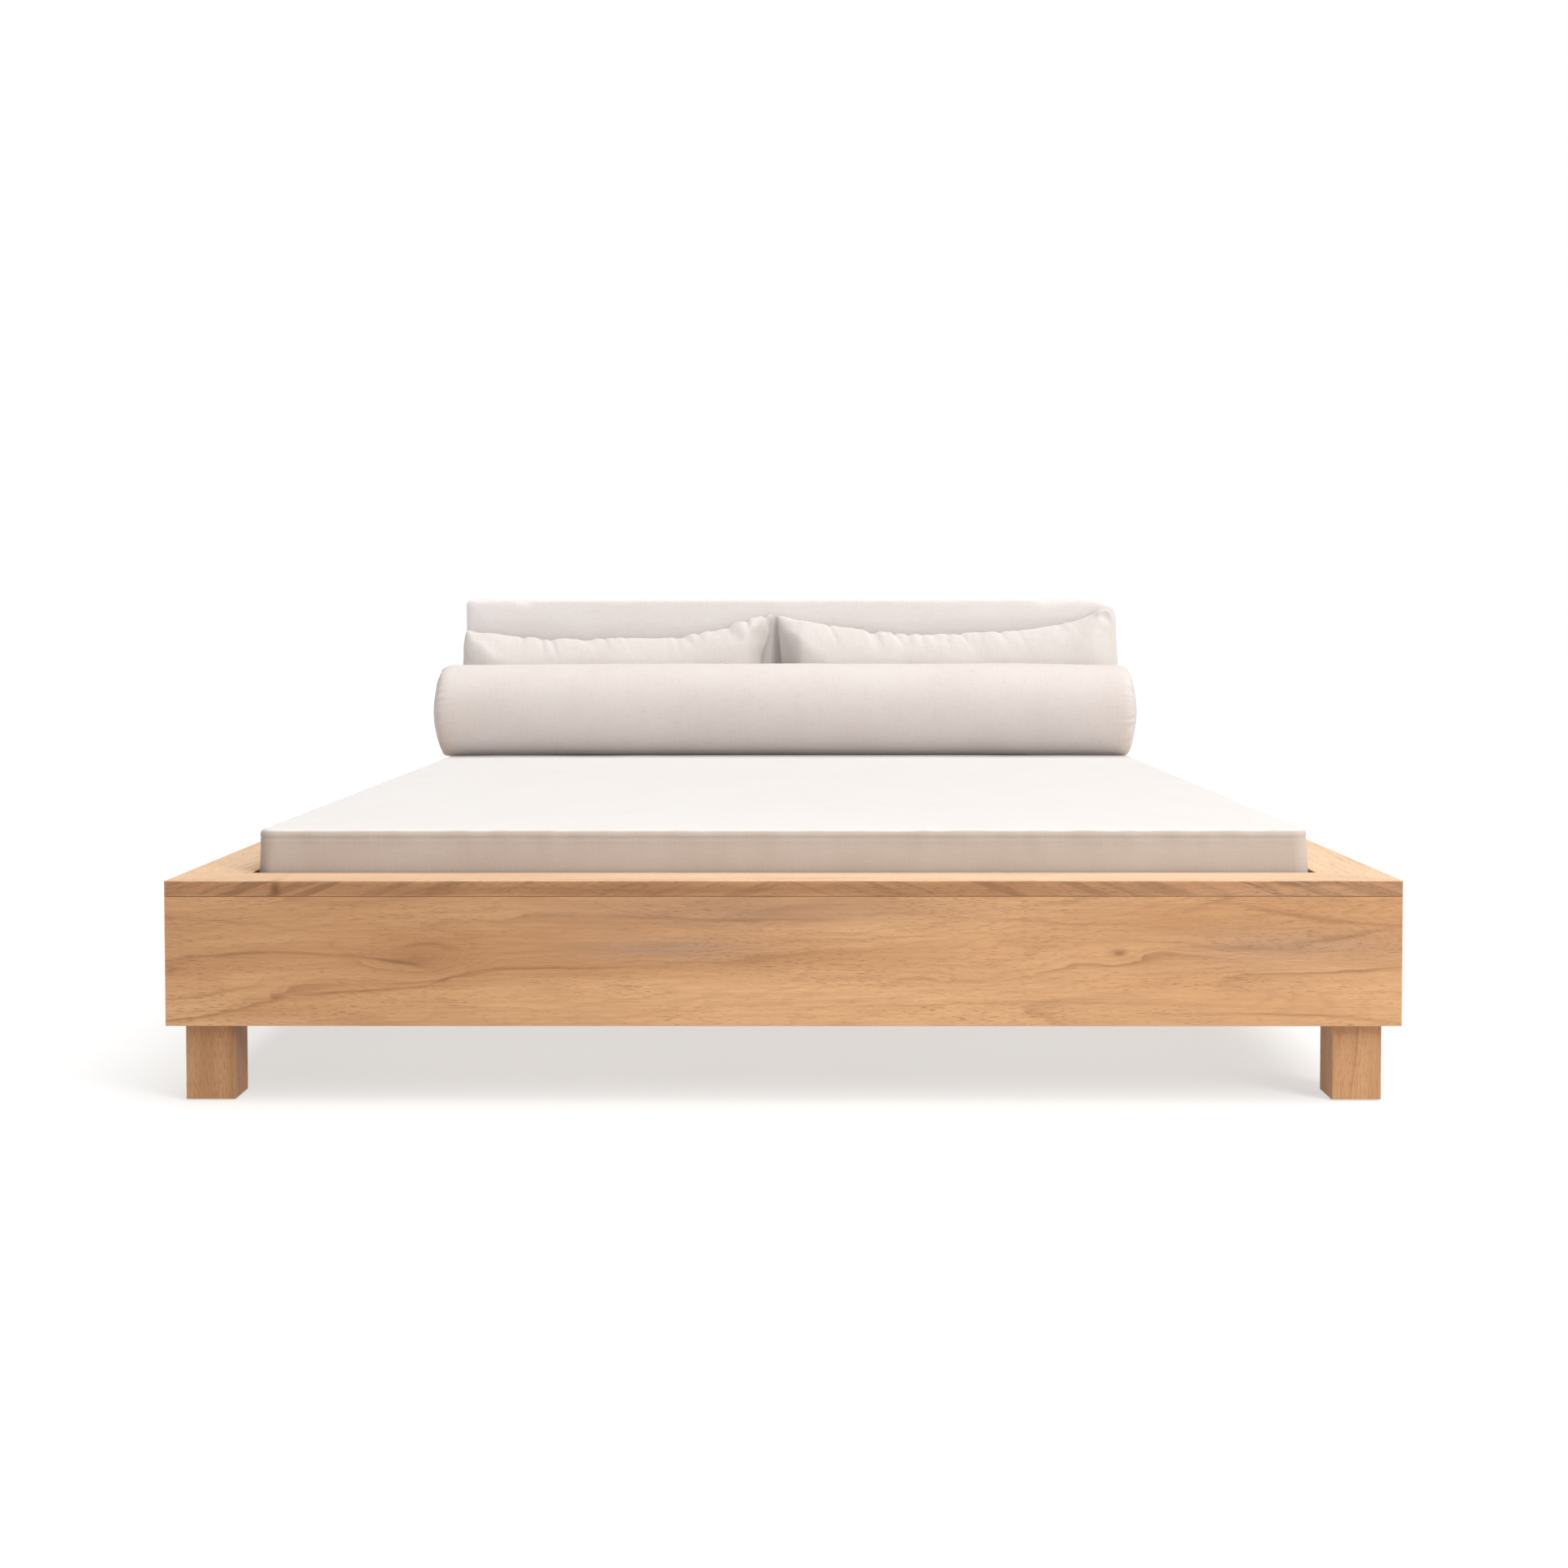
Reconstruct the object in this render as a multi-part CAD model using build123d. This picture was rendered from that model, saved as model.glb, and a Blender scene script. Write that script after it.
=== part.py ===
from build123d import *

import math
import os

# Wooden platform bed with a ledge round a recessed mattress, in millimetres.
# Origin: on the floor, at the middle of the bed. +X is to the sleeper's side of the
# bed seen on the right from the foot, +Y points to the head, +Z is up.

# ---------------------------------------------------------------- mattress and recess
mattress_width = 1524.0
mattress_length = 2032.0
mattress_thickness = 200.0
mattress_corner_radius = 34.0
mattress_edge_radius = 20.0
mattress_gap = 8.0  # between the mattress and the ledge round it
seat_gap = 0.5  # between soft pieces that lie on each other

# ---------------------------------------------------------------- wooden frame
frame_height = 315.0
board_width = 98.0
board_thickness = 22.0
rail_thickness = 22.0
rail_height = 183.0
rail_skirt = 3.0  # how far the rails reach below the slat cleats
leg_size = 70.0
arris_radius = 1.0
leg_arris_radius = 2.0
bearer_size = 40.0
bearer_end_gap = 2.0
cleat_width = 30.0
cleat_height = 45.0
cleat_end_gap = 2.0
slat_count = 14
slat_width = 80.0
slat_thickness = 20.0
slat_arris_radius = 2.0
slat_end_gap = 2.0
slat_leg_gap = 6.0
beam_width = 70.0
beam_height = 42.0
beam_end_gap = 1.5
centre_leg_size = 50.0
centre_leg_spacing = 748.0  # between the two centre legs

# ---------------------------------------------------------------- steel and plastic fittings
plate_thickness = 3.0
hanger_depth = 50.0
hanger_gap = 0.5
leg_plate_length = 100.0
leg_plate_width = 60.0
stud_radius = 4.0
stud_length = 55.0
pad_radius = 19.0
pad_thickness = 5.0
pad_recess = 3.0
fit_gap = 0.1  # all round a fastener in its hole

bolt_radius = 4.0
bolt_hole_radius = 4.5
bolt_head_radius = 6.5
bolt_head_height = 8.0
bolt_reach = 12.0  # into the rail
bolt_socket_radius = 3.0
bolt_socket_depth = 4.5
washer_radius = 9.0
washer_thickness = 2.0
counterbore_radius = 10.5
counterbore_depth = 24.0
insert_radius = 6.0
insert_length = 15.0
side_bolt_drops = (31.0, 98.0)  # below the boards, into the side rails
end_bolt_drops = (55.0, 118.0)  # below the boards, into the end rails

wood_screw_radius = 2.0
wood_screw_head_radius = 4.0
wood_screw_head_height = 2.6
wood_screw_bite = 15.0  # into the second piece
steel_screw_length = 16.0
cleat_screw_count = 6
side_bearer_screw_count = 5
end_bearer_screw_count = 4
screw_end_margin = 90.0
bearer_screw_stagger = 45.0  # between the level and the upright screws
hanger_screw_rise = 11.0
leg_plate_screw_reach = 38.0
leg_plate_screw_spread = 18.0

spline_thickness = 4.0
spline_gap = 0.2
board_spline_length = 70.0
board_spline_width = 32.0
rail_spline_length = 140.0
rail_spline_width = 14.0

# ---------------------------------------------------------------- soft goods
cover_thickness = 3.0
fill_gap = 0.3

back_cushion_thickness = 90.0
back_cushion_height = 352.0
back_cushion_edge_radius = 18.0
back_cushion_offset = 5.0

bolster_radius = 108.0
bolster_length = 1592.0
bolster_dome = 34.0
bolster_flat = 9.0  # depth of the flat that it lies on
bolster_offset = -8.0
bolster_standoff = 79.0  # between the bolster's back and the back cushion's face

pillow_middle = -34.0  # where the two pillows meet
pillow_parting = 14.0
pillow_left_width = 720.0
pillow_left_heights = (290.0, 262.0, 322.0)  # outer corner, dip and inner corner
pillow_right_width = 792.0
pillow_right_heights = (337.0, 272.0, 318.0)
pillow_side_pull = 10.0  # how far the sides curve in between the corners
pillow_bolster_gap = 4.5  # between the pillows and the back of the bolster
pillow_taper = 28.0  # how much thinner the foot is than the waist
pillow_waist_height = 104.0
pillow_belly_thickness = 100.0
pillow_belly_height = 200.0
pillow_seam_depth = 44.0  # from the back cushion to the seam at the top
pillow_crest_depth = 14.0  # from the back cushion to the top's back edge
pillow_corner_radius = 14.0

# ---------------------------------------------------------------- worked out from the above
opening_x = mattress_width / 2 + mattress_gap
opening_y = mattress_length / 2 + mattress_gap
outer_x = opening_x + board_width
outer_y = opening_y + board_width
board_low = frame_height - board_thickness
rail_low = board_low - rail_height
rail_x = outer_x - rail_thickness
rail_y = outer_y - rail_thickness
leg_x = rail_x - leg_size
leg_y = rail_y - leg_size
pad_proud = pad_thickness - pad_recess
slat_low = rail_low + rail_skirt + cleat_height
slat_top = slat_low + slat_thickness
beam_low = slat_low - beam_height
cleat_screw_length = cleat_width + wood_screw_bite
bearer_screw_length = bearer_size + wood_screw_bite
slat_screw_length = slat_thickness + wood_screw_bite
plate_low = beam_low - plate_thickness
mattress_low = slat_top + seat_gap
mattress_top = slat_top + mattress_thickness
cushion_face = mattress_length / 2 - back_cushion_thickness
bolster_y = cushion_face - bolster_standoff - bolster_radius
pillow_waist_thickness = bolster_standoff - pillow_bolster_gap - seat_gap

CORNERS = {
    "front_left": (-1, -1),
    "front_right": (1, -1),
    "head_left": (-1, 1),
    "head_right": (1, 1),
}
SIDES = ("front", "right", "head", "left")


# ---------------------------------------------------------------- helpers
def block(x_range, y_range, z_range):
    """A box given by its lowest and highest value along each axis."""
    sizes = [high - low for low, high in (x_range, y_range, z_range)]
    middle = [(low + high) / 2 for low, high in (x_range, y_range, z_range)]
    return Pos(*middle) * Box(*sizes)


def facing(point, direction):
    """A place at point whose own +Z runs along direction."""
    return Plane(origin=point, z_dir=direction).location


def spread(half_length, count, margin):
    """Evenly spaced places either side of zero, the outer ones margin from the ends."""
    reach = half_length - margin
    return [-reach + 2 * reach * step / (count - 1) for step in range(count)]


def grouped(solids):
    """Separate solids kept together as one node."""
    return Compound(children=list(solids))


def drilled(shape, places, cutter):
    """The shape with the cutter taken out at each place."""
    for place in places:
        shape = shape - place * cutter
    return shape


def rounded_along(shape, axis, radius):
    """The shape with its edges along one axis rounded."""
    return fillet(shape.edges().filter_by(axis), radius)


def save(name, shape):
    """Write one node."""
    shape.label = name
    export_step(shape, f"parts/{name}.step")


# ---------------------------------------------------------------- fasteners
def wood_screw(length, gap=0.0):
    """A countersunk screw from Z = 0 down, or with a gap the hole that takes it."""
    shank = wood_screw_radius + gap
    head = wood_screw_head_radius + gap
    cone = Pos(0, 0, -wood_screw_head_height / 2) * Cone(shank, head, wood_screw_head_height)
    stem_length = length + gap - wood_screw_head_height
    stem = Pos(0, 0, -wood_screw_head_height - stem_length / 2) * Cylinder(shank, stem_length)
    return cone + stem


def leg_bolt():
    """A socket-head bolt; Z = 0 is the joint between leg and rail, +Z into the bed."""
    bearing = leg_size - counterbore_depth + washer_thickness
    length = bearing + bolt_reach
    shank = Pos(0, 0, bearing - length / 2) * Cylinder(bolt_radius, length)
    head = Pos(0, 0, bearing + bolt_head_height / 2) * Cylinder(bolt_head_radius, bolt_head_height)
    socket = extrude(RegularPolygon(bolt_socket_radius, 6), bolt_socket_depth)
    return shank + head - Pos(0, 0, bearing + bolt_head_height - bolt_socket_depth) * socket


def leg_washer():
    """The washer under a leg bolt's head, in the bolt's own place."""
    middle = leg_size - counterbore_depth + washer_thickness / 2
    ring = Cylinder(washer_radius, washer_thickness)
    return Pos(0, 0, middle) * (ring - Cylinder(bolt_radius + fit_gap, washer_thickness))


def rail_insert(gap=0.0):
    """The threaded sleeve let into a rail, or with a gap the solid hole that takes it."""
    length = insert_length + gap
    sleeve = Pos(0, 0, -length / 2) * Cylinder(insert_radius + gap, length)
    if gap:
        return sleeve
    return sleeve - Pos(0, 0, -length / 2) * Cylinder(bolt_radius + fit_gap, length)


def leg_bolt_hole():
    """What a leg bolt takes out of its leg."""
    seat = leg_size - counterbore_depth
    through = Pos(0, 0, seat / 2) * Cylinder(bolt_hole_radius, seat)
    wide = Pos(0, 0, seat + counterbore_depth / 2) * Cylinder(counterbore_radius, counterbore_depth)
    return through + wide


def side_bolt_places(corner):
    """Places of the bolts from one leg into its side rail."""
    side, end = CORNERS[corner]
    middle = end * (leg_y + leg_size / 2)
    points = [(side * rail_x, middle, board_low - drop) for drop in side_bolt_drops]
    return [facing(point, (-side, 0, 0)) for point in points]


def end_bolt_places(corner):
    """Places of the bolts from one leg into its front or head rail."""
    side, end = CORNERS[corner]
    middle = side * (leg_x + leg_size / 2)
    points = [(middle, end * rail_y, board_low - drop) for drop in end_bolt_drops]
    return [facing(point, (0, -end, 0)) for point in points]


def all_bolt_places():
    """Places of every leg bolt."""
    places = []
    for corner in CORNERS:
        places += side_bolt_places(corner) + end_bolt_places(corner)
    return places


def cleat_screw_places(side):
    """Places of the screws through one slat cleat, side being -1 or 1."""
    inner = side * (rail_x - cleat_width)
    height = slat_low - cleat_height / 2
    steps = spread(leg_y, cleat_screw_count, screw_end_margin)
    return [facing((inner, y, height), (-side, 0, 0)) for y in steps]


def bearer_frame(side_name):
    """Along-axis unit, inward unit, rail face distance and half length of one bearer."""
    frames = {
        "front": ((1, 0), (0, 1), rail_y, leg_x, end_bearer_screw_count),
        "head": ((1, 0), (0, -1), rail_y, leg_x, end_bearer_screw_count),
        "left": ((0, 1), (1, 0), rail_x, leg_y, side_bearer_screw_count),
        "right": ((0, 1), (-1, 0), rail_x, leg_y, side_bearer_screw_count),
    }
    return frames[side_name]


def bearer_screw_places(side_name):
    """Places of one bearer's level screws into the rail."""
    along, inward, face, half, count = bearer_frame(side_name)
    reach = face - bearer_size
    height = board_low - bearer_size / 2
    places = []
    for step in spread(half, count, screw_end_margin):
        point = [along[i] * step - inward[i] * reach for i in range(2)]
        places.append(facing((*point, height), (*inward, 0)))
    return places


def board_screw_places(side_name):
    """Places of one bearer's upright screws into the board on top."""
    along, inward, face, half, count = bearer_frame(side_name)
    reach = face - bearer_size / 2
    places = []
    for step in spread(half, count, screw_end_margin):
        shifted = step + bearer_screw_stagger
        point = [along[i] * shifted - inward[i] * reach for i in range(2)]
        places.append(facing((*point, board_low - bearer_size), (0, 0, -1)))
    return places


def slat_rows():
    """Middle of each slat along Y."""
    reach = leg_y - slat_leg_gap - slat_width / 2
    return [-reach + 2 * reach * row / (slat_count - 1) for row in range(slat_count)]


def slat_screw_places(y):
    """Places of the three screws through one slat."""
    over_cleat = rail_x - cleat_width / 2
    return [facing((x, y, slat_top), (0, 0, 1)) for x in (-over_cleat, 0, over_cleat)]


def hanger_screw_places(end):
    """Places of the two screws that hold one beam hanger's back to its rail."""
    inner = end * (rail_y - plate_thickness)
    middle = beam_low + beam_height / 2
    heights = (middle - hanger_screw_rise, middle + hanger_screw_rise)
    return [facing((0, inner, z), (0, -end, 0)) for z in heights]


def centre_leg_rows():
    """Middle of each centre leg along Y."""
    return {"centre_leg_front": -centre_leg_spacing / 2, "centre_leg_head": centre_leg_spacing / 2}


def leg_plate_screw_places(y):
    """Places of the four screws up through one centre leg's plate."""
    places = []
    for dy in (-leg_plate_screw_reach, leg_plate_screw_reach):
        for x in (-leg_plate_screw_spread, leg_plate_screw_spread):
            places.append(facing((x, y + dy, plate_low), (0, 0, -1)))
    return places


# ---------------------------------------------------------------- wood
def mitred_bar(side_name, width, z_range):
    """One of four bars round the outside of the bed, cut at 45 degrees at both ends."""
    outer = [(-outer_x, -outer_y), (outer_x, -outer_y), (outer_x, outer_y), (-outer_x, outer_y)]
    shrink = [(x - math.copysign(width, x), y - math.copysign(width, y)) for x, y in outer]
    first = SIDES.index(side_name)
    second = (first + 1) % len(SIDES)
    outline = Polyline(outer[first], outer[second], shrink[second], shrink[first], close=True)
    bar = extrude(Pos(0, 0, z_range[0]) * make_face(outline), z_range[1] - z_range[0])
    axis = Axis.X if side_name in ("front", "head") else Axis.Y
    return rounded_along(bar, axis, arris_radius)


def corner_slots(length, width, height_middle, depth, thickness, gap, upright):
    """One loose tongue across each mitre, grown by gap all round."""
    tongues = []
    for side, end in CORNERS.values():
        turn = 45 * side * end
        x = side * (outer_x - depth / 2)
        y = end * (outer_y - depth / 2)
        sizes = (thickness, width, length) if upright else (length, width, thickness)
        tongue = Box(*[size + 2 * gap for size in sizes])
        tongues.append(Pos(x, y, height_middle) * Rotation(0, 0, turn) * tongue)
    return tongues


def board_splines(gap=0.0):
    """The flat tongues in the mitres of the top boards."""
    middle = board_low + board_thickness / 2
    sizes = (board_spline_length, board_spline_width)
    return corner_slots(*sizes, middle, board_width, spline_thickness, gap, False)


def rail_splines(gap=0.0):
    """The upright tongues in the mitres of the rails."""
    middle = rail_low + rail_height / 2
    sizes = (rail_spline_length, rail_spline_width)
    return corner_slots(*sizes, middle, rail_thickness, spline_thickness, gap, True)


def top_board(side_name):
    """One mitred board of the ledge, slotted and drilled from below."""
    board = mitred_bar(side_name, board_width, (board_low, frame_height))
    for slot in board_splines(spline_gap):
        board = board - slot
    return drilled(board, board_screw_places(side_name), wood_screw(bearer_screw_length, fit_gap))


def rail(side_name):
    """One mitred rail with its insert, screw and tongue holes."""
    bar = mitred_bar(side_name, rail_thickness, (rail_low, board_low))
    for slot in rail_splines(spline_gap):
        bar = bar - slot
    bearer_cutter = wood_screw(bearer_screw_length, fit_gap)
    bar = drilled(bar, bearer_screw_places(side_name), bearer_cutter)
    for corner, (side, end) in CORNERS.items():
        if side_name == ("left", "right")[side > 0]:
            bar = drilled(bar, side_bolt_places(corner), rail_insert(fit_gap))
        if side_name == ("front", "head")[end > 0]:
            bar = drilled(bar, end_bolt_places(corner), rail_insert(fit_gap))
    if side_name in ("left", "right"):
        side = 1 if side_name == "right" else -1
        return drilled(bar, cleat_screw_places(side), wood_screw(cleat_screw_length, fit_gap))
    end = 1 if side_name == "head" else -1
    return drilled(bar, hanger_screw_places(end), wood_screw(steel_screw_length, fit_gap))


def leg(corner):
    """One corner post, bored for its four bolts and its foot pad."""
    side, end = CORNERS[corner]
    x_range = sorted((side * leg_x, side * rail_x))
    y_range = sorted((end * leg_y, end * rail_y))
    post = block(x_range, y_range, (pad_proud, board_low))
    post = rounded_along(post, Axis.Z, leg_arris_radius)
    places = side_bolt_places(corner) + end_bolt_places(corner)
    post = drilled(post, places, leg_bolt_hole())
    middle = (side * (leg_x + leg_size / 2), end * (leg_y + leg_size / 2))
    return post - pad_hole(middle)


def bearer(side_name):
    """The square strip inside a rail that the top board is screwed down to."""
    along, inward, face, half, _ = bearer_frame(side_name)
    half_run = half - bearer_end_gap
    middle = face - bearer_size / 2
    centre = [-inward[i] * middle for i in range(2)]
    sizes = [2 * half_run * abs(along[i]) + bearer_size * abs(inward[i]) for i in range(2)]
    strip = Pos(*centre, board_low - bearer_size / 2) * Box(*sizes, bearer_size)
    cutter = wood_screw(bearer_screw_length, fit_gap)
    strip = drilled(strip, bearer_screw_places(side_name), cutter)
    return drilled(strip, board_screw_places(side_name), cutter)


def slat_cleat(side):
    """The strip on a side rail that the slats lie on."""
    x_range = sorted((side * (rail_x - cleat_width), side * rail_x))
    half_run = leg_y - cleat_end_gap
    strip = block(x_range, (-half_run, half_run), (slat_low - cleat_height, slat_low))
    strip = drilled(strip, cleat_screw_places(side), wood_screw(cleat_screw_length, fit_gap))
    cutter = wood_screw(slat_screw_length, fit_gap)
    outer = 2 if side > 0 else 0
    return drilled(strip, [slat_screw_places(y)[outer] for y in slat_rows()], cutter)


def slat(y):
    """One slat, drilled for a screw at each end and one over the beam."""
    half_run = rail_x - slat_end_gap
    y_range = (y - slat_width / 2, y + slat_width / 2)
    board = block((-half_run, half_run), y_range, (slat_low, slat_top))
    board = rounded_along(board, Axis.X, slat_arris_radius)
    return drilled(board, slat_screw_places(y), wood_screw(slat_screw_length, fit_gap))


def centre_beam():
    """The beam down the middle, between the two end rails."""
    half_run = rail_y - plate_thickness - beam_end_gap
    x_range = (-beam_width / 2, beam_width / 2)
    beam = block(x_range, (-half_run, half_run), (beam_low, slat_low))
    cutter = wood_screw(slat_screw_length, fit_gap)
    beam = drilled(beam, [slat_screw_places(y)[1] for y in slat_rows()], cutter)
    cutter = wood_screw(steel_screw_length, fit_gap)
    for y in centre_leg_rows().values():
        beam = drilled(beam, leg_plate_screw_places(y), cutter)
    return beam


def centre_leg(y):
    """One post under the beam, bored for its stud and its foot pad."""
    half = centre_leg_size / 2
    post = block((-half, half), (y - half, y + half), (pad_proud, plate_low))
    post = rounded_along(post, Axis.Z, leg_arris_radius)
    bore_length = stud_length + fit_gap
    bore = Pos(0, y, plate_low - bore_length / 2) * Cylinder(stud_radius + fit_gap, bore_length)
    return post - bore - pad_hole((0, y))


# ---------------------------------------------------------------- fittings
def pad_middles():
    """Middle of every foot pad."""
    places = [
        (side * (leg_x + leg_size / 2), end * (leg_y + leg_size / 2))
        for side, end in CORNERS.values()
    ]
    return places + [(0, y) for y in centre_leg_rows().values()]


def pad_hole(middle):
    """The shallow round recess that takes a foot pad."""
    height = pad_proud + pad_recess / 2
    return Pos(*middle, height) * Cylinder(pad_radius + fit_gap, pad_recess)


def foot_pads():
    """A round glide under every leg."""
    pad = Pos(0, 0, pad_thickness / 2) * Cylinder(pad_radius, pad_thickness)
    return grouped(Pos(*middle, 0) * pad for middle in pad_middles())


def beam_hangers():
    """The U-shaped steel shoe at each end of the beam, screwed to the end rail."""
    cheek_low = beam_width / 2 + hanger_gap
    cheek_high = cheek_low + plate_thickness
    hangers = []
    for end in (-1, 1):
        back_range = sorted((end * (rail_y - plate_thickness), end * rail_y))
        reach_range = sorted((end * (rail_y - hanger_depth), end * rail_y))
        shoe = block((-cheek_high, cheek_high), back_range, (plate_low, slat_low))
        shoe += block((-cheek_high, cheek_high), reach_range, (plate_low, beam_low))
        for side in (-1, 1):
            x_range = sorted((side * cheek_low, side * cheek_high))
            shoe += block(x_range, reach_range, (plate_low, slat_low))
        cutter = wood_screw(steel_screw_length, fit_gap)
        hangers.append(drilled(shoe, hanger_screw_places(end), cutter))
    return grouped(hangers)


def centre_leg_plates():
    """The steel plate between the beam and each centre leg."""
    cutter = wood_screw(steel_screw_length, fit_gap)
    plates = []
    for y in centre_leg_rows().values():
        y_range = (y - leg_plate_length / 2, y + leg_plate_length / 2)
        x_range = (-leg_plate_width / 2, leg_plate_width / 2)
        plate = block(x_range, y_range, (plate_low, beam_low))
        plates.append(drilled(plate, leg_plate_screw_places(y), cutter))
    return grouped(plates)


def centre_leg_studs():
    """The stud that screws each centre leg to its plate."""
    stud = Pos(0, 0, plate_low - stud_length / 2) * Cylinder(stud_radius, stud_length)
    return grouped(Pos(0, y, 0) * stud for y in centre_leg_rows().values())


def steel_screws():
    """The short screws that hold the hangers and the leg plates."""
    places = hanger_screw_places(-1) + hanger_screw_places(1)
    for y in centre_leg_rows().values():
        places += leg_plate_screw_places(y)
    return grouped(place * wood_screw(steel_screw_length) for place in places)


# ---------------------------------------------------------------- soft goods
def mattress_form(inset):
    """The mattress's rounded block, drawn in by inset."""
    half_x = mattress_width / 2 - inset
    half_y = mattress_length / 2 - inset
    z_range = (mattress_low + inset, mattress_top - inset)
    form = block((-half_x, half_x), (-half_y, half_y), z_range)
    form = fillet(form.edges().filter_by(Axis.Z), mattress_corner_radius - inset)
    rims = form.edges().filter_by(Axis.Z, reverse=True)
    return fillet(rims, mattress_edge_radius - inset)


def back_cushion_form(inset):
    """The tall box cushion at the head, drawn in by inset."""
    half_x = mattress_width / 2 - inset
    y_range = (cushion_face + inset, mattress_length / 2 - inset)
    low = mattress_top + seat_gap + inset
    high = mattress_top + back_cushion_height - inset
    form = block((-half_x, half_x), y_range, (low, high))
    form = fillet(form.edges(), back_cushion_edge_radius - inset)
    return Pos(back_cushion_offset, 0, 0) * form


def bolster_form(inset):
    """The roll with domed ends and the flat that it lies on, drawn in by inset."""
    half = bolster_length / 2 - inset
    radius = bolster_radius - inset
    straight = half - bolster_dome
    dome_radius = (radius**2 + bolster_dome**2) / (2 * bolster_dome)
    turn = math.asin(radius / dome_radius) / 2
    bulge = (half - dome_radius * (1 - math.cos(turn)), dome_radius * math.sin(turn))
    section = Polyline((-straight, radius), (straight, radius))
    section += ThreePointArc((straight, radius), bulge, (half, 0))
    section += Polyline((half, 0), (-half, 0))
    section += ThreePointArc((-half, 0), (-bulge[0], bulge[1]), (-straight, radius))
    roll = revolve(make_face(section), Axis.X)
    axis_height = mattress_top + seat_gap + bolster_radius - bolster_flat
    placed = Pos(bolster_offset, bolster_y, axis_height) * roll
    keep_low = mattress_top + seat_gap + inset
    keep = block(
        (-bolster_length, bolster_length),
        (bolster_y - 2 * bolster_radius, bolster_y + 2 * bolster_radius),
        (keep_low, keep_low + 2 * bolster_radius),
    )
    return placed & keep


def pillow_side_profile(inset):
    """The pillow seen from its end, drawn in by inset, as a face in the YZ plane."""
    back = cushion_face - seat_gap - inset
    low = mattress_top + seat_gap + inset
    top = mattress_top + max(*pillow_left_heights, *pillow_right_heights) - inset
    waist = mattress_top + pillow_waist_height
    belly = mattress_top + pillow_belly_height
    points = [
        (back, low),
        (back - pillow_waist_thickness + pillow_taper + 2 * inset, low),
        (back - pillow_waist_thickness + 2 * inset, waist),
        (back - pillow_belly_thickness + 2 * inset, belly),
        (back - pillow_seam_depth + inset, top),
        (back - pillow_crest_depth, top),
        (back, belly),
    ]
    return Plane.YZ * make_face(Polyline(*points, close=True))


def pillow_front_outline(width, heights, outward, inset):
    """The pillow seen from the foot, drawn in by inset; outward is -1 or 1."""
    inner_x = pillow_middle + outward * (pillow_parting / 2 + inset)
    outer_edge = inner_x + outward * (width - 2 * inset)
    middle_x = (inner_x + outer_edge) / 2
    low = mattress_top + seat_gap + inset
    outer_top, dip, inner_top = [mattress_top + height - inset for height in heights]
    waist = (low + min(outer_top, inner_top)) / 2
    pull = outward * pillow_side_pull
    edge = Polyline((inner_x, low), (outer_edge, low))
    edge += ThreePointArc((outer_edge, low), (outer_edge - pull, waist), (outer_edge, outer_top))
    edge += ThreePointArc((outer_edge, outer_top), (middle_x, dip), (inner_x, inner_top))
    edge += ThreePointArc((inner_x, inner_top), (inner_x + pull, waist), (inner_x, low))
    face = make_face(edge)
    return Plane.XZ * fillet(face.vertices(), pillow_corner_radius - inset)


def pillow_form(width, heights, outward, inset):
    """One standing pillow: its end profile and its front outline, both satisfied."""
    profile = pillow_side_profile(inset)
    outline = pillow_front_outline(width, heights, outward, inset)
    across = extrude(profile, mattress_width, both=True)
    through = extrude(outline, mattress_length, both=True)
    return across & through


def covered(form):
    """A hollow cover and the filling inside it, from a form that takes an inset."""
    cover = form(0.0) - form(cover_thickness)
    return cover, form(cover_thickness + fill_gap)


# ---------------------------------------------------------------- build
def build_frame():
    """Write every wooden piece."""
    for side_name in SIDES:
        save(f"top_board_{side_name}", top_board(side_name))
        save(f"rail_{side_name}", rail(side_name))
        save(f"bearer_{side_name}", bearer(side_name))
    for corner in CORNERS:
        save(f"leg_{corner}", leg(corner))
    save("slat_cleat_left", slat_cleat(-1))
    save("slat_cleat_right", slat_cleat(1))
    for number, y in enumerate(slat_rows(), start=1):
        save(f"slat_{number:02d}", slat(y))
    save("centre_beam", centre_beam())
    for name, y in centre_leg_rows().items():
        save(name, centre_leg(y))
    save("board_splines", grouped(board_splines()))
    save("rail_splines", grouped(rail_splines()))


def build_fittings():
    """Write every steel and plastic fitting."""
    save("beam_hangers", beam_hangers())
    save("centre_leg_plates", centre_leg_plates())
    save("centre_leg_studs", centre_leg_studs())
    save("foot_pads", foot_pads())
    save("leg_bolts", grouped(place * leg_bolt() for place in all_bolt_places()))
    save("leg_washers", grouped(place * leg_washer() for place in all_bolt_places()))
    save("rail_inserts", grouped(place * rail_insert() for place in all_bolt_places()))
    cleat_places = cleat_screw_places(-1) + cleat_screw_places(1)
    save("cleat_screws", grouped(place * wood_screw(cleat_screw_length) for place in cleat_places))
    slat_places = [place for y in slat_rows() for place in slat_screw_places(y)]
    save("slat_screws", grouped(place * wood_screw(slat_screw_length) for place in slat_places))
    level = [place for side_name in SIDES for place in bearer_screw_places(side_name)]
    save("bearer_screws", grouped(place * wood_screw(bearer_screw_length) for place in level))
    upright = [place for side_name in SIDES for place in board_screw_places(side_name)]
    save("board_screws", grouped(place * wood_screw(bearer_screw_length) for place in upright))
    save("steel_screws", steel_screws())


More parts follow.
